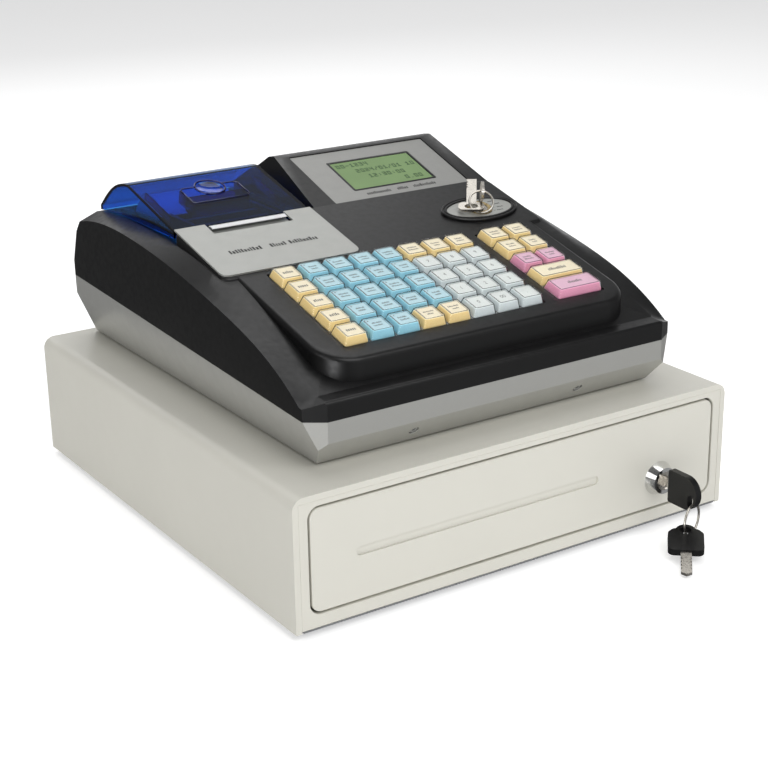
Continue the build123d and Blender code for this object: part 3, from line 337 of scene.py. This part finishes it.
CABINET = paint("cabinet_paint", srgb(218, 216, 206))
BLACK = plastic("black_plastic", (0.006, 0.006, 0.0062), 0.34, 0.4, 0.006, 0.08)
TRAY = plastic("tray_plastic", (0.016, 0.016, 0.017), 0.5, 0.5, 0.02, 0.06)
SILVER = metallic_paint("silver_plastic", srgb(186, 186, 182))
PLATE = metallic_paint("plate_paint", srgb(178, 179, 175), 0.5)
GREY = metallic_paint("screen_grey", srgb(158, 158, 155), 0.5)
ZINC = metal("zinc", (0.62, 0.63, 0.64), 0.32, 6.0, 0.006)
CHROME = metal("chrome", (0.80, 0.80, 0.79), 0.10, 2.5, 0.002)
NICKEL = metal("nickel", (0.60, 0.57, 0.52), 0.30, 1.2, 0.008)
BRASS = metal("brass", (0.72, 0.55, 0.27), 0.25, 2.0, 0.006)
RUBBER = plastic("roller_rubber", (0.02, 0.02, 0.021), 0.75, 0.3, 0.02, 0.1)
FEET = plastic("clear_rubber", srgb(190, 192, 190), 0.55, 0.5, 0.02, 0.04)
BLUE = clear("blue_clear", (0.03, 0.20, 0.60), 0.035, 1.40, (0.15, 0.38, 0.85), 0.004)
PAPER = paper_look("paper", srgb(238, 239, 240))
BOARD = plastic("board_green", (0.02, 0.14, 0.05), 0.35, 0.8, 0.01, 0.15)
LOOKS = {
    "cabinet_paint": CABINET, "drawer_paint": CABINET, "zinc": ZINC, "clear_rubber": FEET,
    "black_plastic": BLACK, "tray_plastic": TRAY, "silver_plastic": SILVER, "screen_grey": GREY,
    "blue_clear": BLUE, "chrome": CHROME, "nickel": NICKEL, "brass": BRASS, "roller_rubber": RUBBER,
    "paper": PAPER, "board_green": BOARD,
}

# ------------------------------------------------------------------ CAD nodes
for name, node in nodes.items():
    for slot in node.material_slots:
        base = slot.material.name.split(".")[0] if slot.material else ""
        if base in LOOKS:
            slot.material = LOOKS[base]
nodes["printer_plate"].material_slots[0].material = PLATE


def soften(names, width, angle=28.0, segments=2):
    """Breaks the sharp edges of carried-over CAD nodes."""
    for name in names:
        node = nodes[name]
        mesh = node.data
        if "custom_normal" in mesh.attributes:
            mesh.attributes.remove(mesh.attributes["custom_normal"])
        for polygon in mesh.polygons:
            polygon.use_smooth = True
        weld = node.modifiers.new("weld", "WELD")
        weld.merge_threshold = 0.00001
        bevel = node.modifiers.new("bevel", "BEVEL")
        bevel.width = width * MM
        bevel.segments = segments
        bevel.limit_method = "ANGLE"
        bevel.angle_limit = math.radians(angle)
        bevel.use_clamp_overlap = True
        bevel.harden_normals = True
        bevel.miter_outer = "MITER_ARC"


soften(["cabinet_shell", "cabinet_bezel", "drawer_front", "lower_case", "upper_case", "display_bezel",
        "display_panel", "printer_plate"], 0.5)

# ------------------------------------------------------------------ keys
PITCH = 19.05
MAIN_X = -98.7
SIDE_X = 64.6
KEYS_V = 13.4
CAP_LOW = -1.0


def key_body(name, colour, flank_shade_colour):
    """Opaque key moulding under its clear cap; its flanks carry a painted shade, a colour a shade deeper than
    its top, set by which way each face turns.
    """
    look = Shader(name, colour, 0.45, specular_ior_level=0.35, subsurface_weight=0.0)
    geometry = look.node("ShaderNodeNewGeometry")
    facing = look.node("ShaderNodeVectorMath", operation="DOT_PRODUCT")
    look.link(geometry.outputs["True Normal"], facing.inputs[0])
    facing.inputs[1].default_value = (0, -math.sin(DECK_TILT), math.cos(DECK_TILT))
    # painted shade: faces that turn away from the deck take the deeper flank colour
    shade = look.ramp(facing.outputs["Value"], [(0.55, flank_shade_colour), (0.9, colour)])
    look.link(shade, look.main.inputs["Base Color"])
    look.roughen(look.noise(2, 3), 0.38, 0.52)
    look.bump(look.noise(0.4, 2), 0.006)
    return look.material


def card(name, colour):
    """Printed card under a key's clear cap."""
    look = Shader(name, colour, 0.6, specular_ior_level=0.3)
    look.tint(look.noise(1.2, 4), 0.02)
    look.bump(look.noise(0.3, 2), 0.003)
    return look.material


def ink(name, colour):
    """Printing ink, a little uneven."""
    look = Shader(name, colour, 0.6, specular_ior_level=0.3)
    look.tint(look.noise(0.5, 3), 0.12)
    return look.material


# each key's second colour is the painted shade of its flanks
CREAM = (key_body("cap_cream", srgb(232, 212, 170), srgb(236, 206, 142)),
         card("card_cream", srgb(222, 210, 184)))
SKY = (key_body("cap_blue", srgb(158, 206, 220), srgb(142, 198, 216)),
       card("card_blue", srgb(168, 196, 204)))
WHITE = (key_body("cap_white", srgb(208, 214, 214), srgb(202, 209, 210)),
         card("card_white", srgb(202, 205, 202)))
PINK = (key_body("cap_pink", srgb(220, 156, 184), srgb(220, 146, 174)),
        card("card_pink", srgb(206, 166, 184)))
INK = ink("key_ink", srgb(92, 90, 88))
INK_DARK = ink("plate_ink", srgb(44, 44, 44))
CAP = clear("key_cap", (0.96, 0.97, 0.97), 0.03, 1.25, (0.97, 0.98, 0.98), 0.0)


def dashes(bm, rng, cx, cy, width, height, z, index):
    """A short row of upright strokes that stands for a printed word, without lettering."""
    x = cx - width / 2
    while x < cx + width / 2 - 0.3:
        stroke = rng.uniform(0.28, 0.5) * height / 1.3
        tall = height * rng.choice((0.72, 0.72, 1.0))
        slab(bm, x, x + stroke, cy - height / 2, cy - height / 2 + tall, z, z + 0.03, 0.02, 0, index)
        x += stroke + 0.22 * height / 1.3


def key_shape(bm, x, v, wide, legend, rng):
    """One key: moulding (0), clear cap (1), card (2), print (3)."""
    extra = (wide - 1) * PITCH

    def ring(side, radius, h):
        return ring_rect(x, v, side + extra, side, radius, h)

    body = ((16.7, 1.2, CAP_LOW + 0.1), (16.6, 1.2, -0.2), (13.9, 1.0, 4.2), (13.6, 0.9, 4.5),
            (13.2, 0.8, 4.6), (12.6, 0.7, 4.6))
    skin(bm, [ring(*step) for step in body], 0)
    outer = ((18.1, 1.5, CAP_LOW), (18.0, 1.5, -0.4), (17.7, 1.4, -0.3), (15.1, 1.2, 5.0), (14.8, 1.1, 5.5),
             (14.3, 1.0, 5.7), (13.7, 0.9, 5.7))
    inner = ((13.3, 0.8, 5.1), (13.9, 0.9, 5.1), (14.2, 1.0, 4.7), (17.0, 1.3, -0.5), (17.3, 1.3, CAP_LOW))
    shell = [ring(*step) for step in outer]
    hollow = [ring(*step) for step in inner]
    skin(bm, shell, 1, close=False)
    skin(bm, hollow, 1, close=False)
    skin(bm, [shell[0], hollow[-1]], 1, close=False)
    bm.faces.new([bm.verts.new(p) for p in shell[-1]]).material_index = 1
    bm.faces.new([bm.verts.new(p) for p in reversed(hollow[0])]).material_index = 1
    half = 6.3
    slab(bm, x - half - extra / 2, x + half + extra / 2, v - half, v + half, 4.6, 4.72, 0.8, 0.03, 2)
    line = [ring_rect(x, v, 12.2 + extra, 12.2, 0.7, z) for z in (4.72, 4.76)]
    line += [ring_rect(x, v, 11.8 + extra, 11.8, 0.6, z) for z in (4.76, 4.72)]
    skin(bm, line, 3, loop=True)
    level = 4.72
    if legend[0] == "digits":
        text_mesh(bm, legend[1], 4.6, x, v - 0.1, level, 3, 0.9)
    elif legend[0] == "words":
        dashes(bm, rng, x, v + 0.1, legend[1], 3.0, level, 3)
    else:
        first, second = rng.uniform(5.6, 7.8), rng.uniform(4.2, 7.8)
        dashes(bm, rng, x, v + 1.35, first, 1.6, level, 3)
        dashes(bm, rng, x, v - 1.55, second, 1.6, level, 3)
        if legend[0] == "marked":
            slab(bm, x - 4.9, x - 3.9, v + 3.8, v + 4.8, level, level + 0.03, 0.3, 0, 3)
    for sx in (-1, 1):
        for sy in (-1, 1):
            lug_x, lug_y = x + sx * (5.0 + extra / 2), v + sy * 8.8
            slab(bm, lug_x - 0.8, lug_x + 0.8, lug_y - 0.2, lug_y + 0.2, CAP_LOW - 0.9, CAP_LOW, 0.1, 0, 1)
    slab(bm, x - 2.5, x + 2.5, v - 2.5, v + 2.5, -7.0, CAP_LOW + 0.2, 0.4, 0, 4)


def place(column, row, side=False):
    return (SIDE_X if side else MAIN_X) + PITCH * (column + 0.5), KEYS_V + PITCH * (row + 0.5)


def key_piece(node, looks, keys):
    """Replaces one CAD key node with its finished keys: (x, v, width in keys, legend)."""
    rng = random.Random(node)
    bm = bmesh.new()
    for x, v, wide, legend in keys:
        key_shape(bm, x, v, wide, legend, rng)
    piece = finish_mesh(node + "_keys", bm, [looks[0], CAP, looks[1], INK, TRAY], node, DECK, 40)
    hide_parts(node)
    return piece


digit_places = {"7": (5, 3), "8": (6, 3), "9": (7, 3), "4": (5, 2), "5": (6, 2), "6": (7, 2),
                "1": (5, 1), "2": (6, 1), "3": (7, 1), "0": (5, 0), "00": (6, 0), ".": (7, 0)}
for label, (column, row) in digit_places.items():
    node = "key_point" if label == "." else "key_" + label
    key_piece(node, WHITE, [(*place(column, row), 1, ("digits", label))])
functions = [(*place(0, r), 1, ("words", 7.0)) for r in range(5)]
functions += [(*place(c, 0), 1, ("lines",)) for c in (3, 4)]
functions += [(*place(c, 4), 1, ("lines",)) for c in (5, 6, 7)]
functions += [(*place(c, r, True), 1, ("lines",)) for c in (0, 1) for r in (3, 4)]
key_piece("function_keys", CREAM, functions)
departments = [(*place(c, r), 1, ("marked",)) for c in (1, 2, 3, 4) for r in range(1, 5)]
departments += [(*place(c, 0), 1, ("marked",)) for c in (1, 2)]
key_piece("department_keys", SKY, departments)
key_piece("register_keys", PINK, [(*place(c, 2, True), 1, ("lines",)) for c in (0, 1)])
wide_x = SIDE_X + PITCH
key_piece("key_total", CREAM, [(wide_x, place(0, 1)[1], 2, ("words", 14.0))])
key_piece("key_cash", PINK, [(wide_x, place(0, 0)[1], 2, ("words", 11.0))])


# ------------------------------------------------------------------ drawer keys: black heads, metal blades
HEAD_BACK_Y = -192.0
SPARE_HOLE = Vector((103.147, -215.938, 10.6))
SPARE_AIM = Vector((-41.0, -46.0, -11.0)).normalized()
SPARE_HEAD = 22.0


def metal_blade(node, is_blade):
    """Gives a key's blade its own metal look; is_blade takes a point in cabinet millimetres."""
    key = nodes[node]
    key.data.materials.append(NICKEL)
    to_home = HOME.inverted() @ key.matrix_world
    for face in key.data.polygons:
        if is_blade(to_home @ face.center):
            face.material_index = len(key.data.materials) - 1


metal_blade("drawer_key", lambda p: p.y > HEAD_BACK_Y + 0.05)
metal_blade("drawer_spare_key", lambda p: (p - SPARE_HOLE).dot(SPARE_AIM) > SPARE_HEAD + 0.05)

# ------------------------------------------------------------------ display
LCD_X = (23.7, 93.1)
LCD_V = (19.5, 59.1)
LCD_FACE = -0.9
PANEL_FACE = -0.6
LCD = Shader("lcd", srgb(128, 158, 104), 0.16, specular_ior_level=0.5, coat_weight=0.5,
             coat_roughness=0.04)
LCD.tint(LCD.noise(30, 2), 0.05)
LCD.bump(LCD.noise(0.35, 1), 0.001)
nodes["lcd_glass"].material_slots[0].material = LCD.material
SEGMENT = ink("lcd_segment", srgb(66, 92, 58))
RIM = plastic("lcd_rim", (0.012, 0.012, 0.012), 0.4, 0.3, 0.003)


DOT_FONT = {"0": (7, 5, 5, 5, 7), "1": (2, 6, 2, 2, 7), "2": (7, 1, 7, 4, 7), "3": (7, 1, 7, 1, 7),
            "4": (5, 5, 7, 1, 1), "5": (7, 4, 7, 1, 7), "6": (7, 4, 7, 5, 7), "7": (7, 1, 1, 2, 2),
            "8": (7, 5, 7, 5, 7), "9": (7, 5, 7, 1, 7), ":": (0, 2, 0, 2, 0), "/": (1, 1, 2, 4, 4),
            ".": (0, 0, 0, 0, 2), " ": (0, 0, 0, 0, 0), "-": (0, 0, 7, 0, 0)}
DOT = 0.98
DOT_FILL = 0.9
LCD_ROWS = (("00-1234", 0), ("2024/01/01 10", 12.0), ("12:30:00", 18.0), ("0.00", 44.0))
LCD_ROW_PITCH = 8.6
LCD_MARGIN = 4.0


def dot_row(bm, text, x, v):
    """A row of made-up digits in small square dots, three dots wide and five high."""
    for k, letter in enumerate(text):
        for r, bits in enumerate(DOT_FONT[letter]):
            for c in range(3):
                if bits & (4 >> c):
                    x0 = x + (k * 4 + c) * DOT
                    y0 = v - r * DOT
                    side = DOT * DOT_FILL
                    slab(bm, x0, x0 + side, y0 - side, y0, LCD_FACE, LCD_FACE + 0.04, 0.02)


def display_digits():
    """Made-up digits on the display: a number, a date, a time and an amount."""
    bm = bmesh.new()
    for row, (text, indent) in enumerate(LCD_ROWS):
        dot_row(bm, text, LCD_X[0] + LCD_MARGIN + indent, LCD_V[1] - LCD_MARGIN - row * LCD_ROW_PITCH)
    finish_mesh("lcd_digits", bm, [SEGMENT], "root", POD)


def display_surround():
    """Dark frame round the display window, as (wider than the window, corner radius, height)."""
    cx, cy = sum(LCD_X) / 2, sum(LCD_V) / 2
    w, d = LCD_X[1] - LCD_X[0], LCD_V[1] - LCD_V[0]
    steps = ((1.6, 1.4, PANEL_FACE), (1.6, 1.4, -0.5), (1.3, 1.3, -0.42), (-1.7, 0.8, -0.42),
             (-2.0, 0.7, -0.55), (-2.0, 0.7, LCD_FACE))
    bm = bmesh.new()
    rings = [ring_rect(cx, cy, w + wider, d + wider, radius, z) for wider, radius, z in steps]
    skin(bm, rings, 0, close=False)
    finish_mesh("lcd_surround", bm, [RIM], "root", POD)


display_digits()
display_surround()

# ------------------------------------------------------------------ printer
COVER_SLOPE = tilted((0, 34.8, 195.0), math.atan2(17.8, 69.2))
BLUE_EDGE = clear("blue_edge", (0.003, 0.03, 0.24), 0.06, 1.46, (0.05, 0.15, 0.6), 0.0)
CATCH_X, CATCH_V = -74.0, 50.0
DISH_RADIUS = 10.6
CATCH_HALF = 22
CATCH_LOW, CATCH_HIGH = -19, 3
UNDER_COVER = -2.1
PAPER_X = (-103.0, -46.0)
PAPER_PROFILE = ((33.6, 189.5), (32.9, 192.0), (32.0, 193.9), (30.6, 195.0), (28.9, 195.3), (27.3, 194.9),
                 (25.6, 194.1))
PAPER_TEETH = 38
TOOTH_DEPTH = 0.55
BLADE_TEETH = 58


def tube(bm, points, radius, closed=True, sides=8):
    """A round bead along flat points."""
    rings = []
    count = len(points)
    for i, p in enumerate(points):
        before = points[i - 1] if closed or i else p
        after = points[(i + 1) % count] if closed or i < count - 1 else p
        along = (after - before).normalized()
        side = along.cross(Vector((0, 0, 1))).normalized()
        turns = [2 * math.pi * k / sides for k in range(sides)]
        rings.append([p + radius * (side * math.cos(t) + Vector((0, 0, 1)) * math.sin(t)) for t in turns])
    skin(bm, rings, close=False, loop=closed)


def cover_catch():
    """Thumb dish rim, catch frame, catch box and two ribs of the blue cover."""
    bm = bmesh.new()
    tube(bm, ring_oval(CATCH_X, CATCH_V, DISH_RADIUS, DISH_RADIUS, 0.15, 40), 0.7)
    half, low, high = CATCH_HALF, CATCH_LOW, CATCH_HIGH
    left = ((-11, high), (2 - half, high), (-half, high - 2), (-half, low + 2), (2 - half, low))
    frame_points = left + tuple((-x, v) for x, v in reversed(left))
    tube(bm, [Vector((CATCH_X + x, CATCH_V + v, 0.1)) for x, v in frame_points], 0.6, closed=False)
    for x0, x1, v0, v1 in ((-half, half, low, low + 1.4), (-half, 1.4 - half, low, high),
                           (half - 1.4, half, low, high), (-half, half, -8.5, -7.3)):
        slab(bm, CATCH_X + x0, CATCH_X + x1, CATCH_V + v0, CATCH_V + v1, -11.0, UNDER_COVER, 0.3)
    slab(bm, CATCH_X - half, CATCH_X + half, CATCH_V + low, CATCH_V - 7.3, -12.2, -11.0, 0.4)
    for x in (-46, 38):
        slab(bm, CATCH_X + x, CATCH_X + x + 1.6, CATCH_V - 30, CATCH_V + 8, -7.0, UNDER_COVER, 0.3)
    finish_mesh("cover_catch", bm, [BLUE_EDGE], "cover", COVER_SLOPE)


def paper_tongue():
    """The paper's torn end, coming out of the slot and bending forward."""
    bm = bmesh.new()
    columns = 2 * PAPER_TEETH
    rows = []
    for k, (y, z) in enumerate(PAPER_PROFILE):
        row = []
        for i in range(columns + 1):
            x = PAPER_X[0] + (PAPER_X[1] - PAPER_X[0]) * i / columns
            cut = TOOTH_DEPTH * (i % 2) if k == len(PAPER_PROFILE) - 1 else 0.0
            row.append(Vector((x, y + cut, z + cut * 0.2)))
        rows.append(row)
    for a, b in zip(rows, rows[1:]):
        va = [bm.verts.new(p) for p in a]
        vb = [bm.verts.new(p) for p in b]
        for i in range(columns):
            bm.faces.new((va[i], va[i + 1], vb[i + 1], vb[i]))
    piece = finish_mesh("paper_end", bm, [PAPER], "root", HOME, 60)
    thick = piece.modifiers.new("thickness", "SOLIDIFY")
    thick.thickness = 0.10 * MM
    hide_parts("paper_strip")


def tear_blade():
    """Toothed strip that the paper is torn against."""
    bm = bmesh.new()
    thick = 0.25
    for i in range(BLADE_TEETH):
        x = PAPER_X[0] + i
        tooth = ((x, 176.0, 0.35), (x + 1, 176.0, 0.35), (x + 1, 179.0, 0.9), (x + 0.5, 179.9, 1.0),
                 (x, 179.0, 0.9))
        skin(bm, [[Vector(p) for p in tooth], [Vector(p) - Vector((0, 0, thick)) for p in tooth]])
    finish_mesh("tear_blade", bm, [ZINC], "root", DECK, 20)


cover_catch()
paper_tongue()
tear_blade()

# ------------------------------------------------------------------ mode lock
MODE_X, MODE_V = 91.3, 140.4
MODE_STEPS = 72
MODE_FACE = 1.25


def mode_ring():
    """Black grooved rim round the mode lock's plate, as (half width, half depth, height)."""
    steps = ((30.9, 17.4, -0.2), (30.9, 17.4, 1.5), (30.4, 16.9, 2.0), (29.4, 15.9, 2.0), (29.0, 15.5, 1.6),
             (28.5, 15.0, 1.6), (28.2, 14.7, 2.1), (27.0, 13.5, 2.1), (26.6, 13.1, 1.7), (26.4, 12.9, 1.05))
    bm = bmesh.new()
    rings = [ring_oval(MODE_X, MODE_V, rx, ry, h, MODE_STEPS) for rx, ry, h in steps]
    skin(bm, rings, 0, close=False)
    finish_mesh("mode_ring_trim", bm, [BLACK], "root", DECK, 35)


def mode_face():
    """Silver middle of the plate, with lines and short printed rows for the lock's positions."""
    bm = bmesh.new()
    steps = ((26.6, 13.1, 1.0), (26.6, 13.1, MODE_FACE), (9.6, 9.6, MODE_FACE), (9.6, 9.6, 1.0))
    rings = [ring_oval(MODE_X, MODE_V, rx, ry, h, MODE_STEPS) for rx, ry, h in steps]
    skin(bm, rings, 0, close=False, loop=True)
    draws = random.Random(7)
    for k in range(4):
        angle = math.radians(38 - 26 * k)
        x = MODE_X + 13.2 * math.cos(angle)
        v = MODE_V + 10.4 * math.sin(angle)
        slab(bm, x - 2.2, x - 0.4, v - 0.12, v + 0.12, MODE_FACE, MODE_FACE + 0.04, 0.05, 0, 1)
        dashes(bm, draws, x + 3.4, v, 5.4, 1.3, MODE_FACE, 1)
    finish_mesh("mode_plate_face", bm, [PLATE, INK_DARK], "root", DECK, 35)


mode_ring()
mode_face()

# ------------------------------------------------------------------ printed rows that stand for the lettering
PLATE_TOP = 1.2
PLATE_WORDS = ((-96.5, 23.0), (-72.5, 10.5), (-52.5, 22.0))
PANEL_WORDS = ((40.0, 20.0), (60.5, 9.5), (79.5, 19.5))


def printed_row(name, words, v, height, z, place, draws):
    """One line of greeked words, each a middle and a width."""
    bm = bmesh.new()
    for cx, width in words:
        dashes(bm, draws, cx, v, width, height, z, 0)
    finish_mesh(name, bm, [INK_DARK], "root", place)


row_draws = random.Random(11)
printed_row("plate_print", PLATE_WORDS, 141.0, 4.6, PLATE_TOP, DECK, row_draws)
printed_row("panel_print", PANEL_WORDS, 13.2, 3.4, PANEL_FACE, POD, row_draws)


# ------------------------------------------------------------------ stage, light and camera
FLOOR_HALF = 12.0
FLOOR_Z = -0.0004
floor_mesh = bpy.data.meshes.new("floor")
bm = bmesh.new()
bmesh.ops.create_grid(bm, x_segments=1, y_segments=1, size=FLOOR_HALF)
bm.to_mesh(floor_mesh)
bm.free()
floor = bpy.data.objects.new("floor", floor_mesh)
scene.collection.objects.link(floor)
floor_look = Shader("floor", (0.9, 0.9, 0.9), 0.8, emission_strength=0.5)
floor_look.set("Emission Color", (1, 1, 1, 1))
floor_look.tint(floor_look.noise(500, 2), 0.004)
floor_mesh.materials.append(floor_look.material)
floor.location.z = FLOOR_Z
floor.visible_glossy = False

world = bpy.data.worlds.new("studio")
scene.world = world
world.use_nodes = True
tree = world.node_tree
sky = tree.nodes["Background"]
aim_of_ray = tree.nodes.new("ShaderNodeTexCoord").outputs["Generated"]


def math_node(operation, *values):
    """Adds one sum to the world's nodes and gives its result."""
    made = tree.nodes.new("ShaderNodeMath")
    made.operation = operation
    for i, value in enumerate(values):
        if isinstance(value, (int, float)):
            made.inputs[i].default_value = value
        else:
            tree.links.new(value, made.inputs[i])
    return made.outputs[0]


def glow(direction, sharpness, strength):
    """A soft patch of light in the room, in one direction."""
    dot = tree.nodes.new("ShaderNodeVectorMath")
    dot.operation = "DOT_PRODUCT"
    dot.inputs[1].default_value = Vector(direction).normalized()
    tree.links.new(aim_of_ray, dot.inputs[0])
    facing = math_node("MAXIMUM", dot.outputs["Value"], 0.0)
    return math_node("MULTIPLY", math_node("POWER", facing, sharpness), strength)


# The room, as (direction, sharpness, strength): a patch high up behind on the right, a small bright one
# at the front left, a broad one in front, and one at the horizon behind on the right.
ROOM = (((0.50, 0.55, 0.66), 24, 0.20), ((-0.81, -0.53, -0.15), 40, 9.0), ((0.3, -1, 0.1), 4, 0.5),
        ((0.70, 0.71, -0.02), 16, 1.1))
ROOM_DIM = 0.13
light_level = ROOM_DIM
for direction, sharpness, strength in ROOM:
    light_level = math_node("ADD", glow(direction, sharpness, strength), light_level)
seen = tree.nodes.new("ShaderNodeLightPath").outputs["Is Camera Ray"]
light_level = math_node("MAXIMUM", light_level, seen)
tree.links.new(light_level, sky.inputs[1])
sky.inputs[0].default_value = (0.985, 0.99, 1.0, 1)
scene.view_settings.view_transform = "Standard"


def lamp(name, place, target, size, power, colour=(1, 1, 1)):
    """A rectangular area lamp at a place in metres, aimed at a target."""
    light = bpy.data.lights.new(name, "AREA")
    light.shape = "RECTANGLE"
    light.size, light.size_y = size
    light.energy = power
    light.color = colour
    holder = bpy.data.objects.new(name, light)
    scene.collection.objects.link(holder)
    holder.location = place
    aim = Vector(target) - Vector(place)
    holder.rotation_mode = "QUATERNION"
    holder.rotation_quaternion = aim.to_track_quat("-Z", "Y")
    return holder


lamp("top_light", (0.15, 0.5, 1.8), (0, 0, 0.1), (1.5, 1.5), 12.5)
lamp("front_light", (0.1, -1.5, 1.75), (0, 0, 0.1), (2.0, 1.0), 20)
lamp("left_light", (-1.9, -0.5, 0.9), (0, 0, 0.1), (1.2, 1.2), 7.5)
lamp("back_light", (0.3, 1.6, 1.0), (0, 0, 0.15), (1.8, 0.7), 5)

camera = bpy.data.cameras.new("camera")
camera.lens = 77.87
camera.sensor_width = 36.0
camera.clip_start = 0.05
camera.clip_end = 50.0
view = bpy.data.objects.new("camera", camera)
scene.collection.objects.link(view)
right = Vector((0.835, -0.55, -0.0155))
up = Vector((0.2001, 0.2774, 0.9397))
back = Vector((-0.5125, -0.7878, 0.3417))
turn = Matrix((right, up, back)).transposed().to_quaternion()
view.rotation_mode = "QUATERNION"
view.rotation_quaternion = turn
view.location = HOME @ Vector((-590.3, -927.5, 470.8))
scene.camera = view
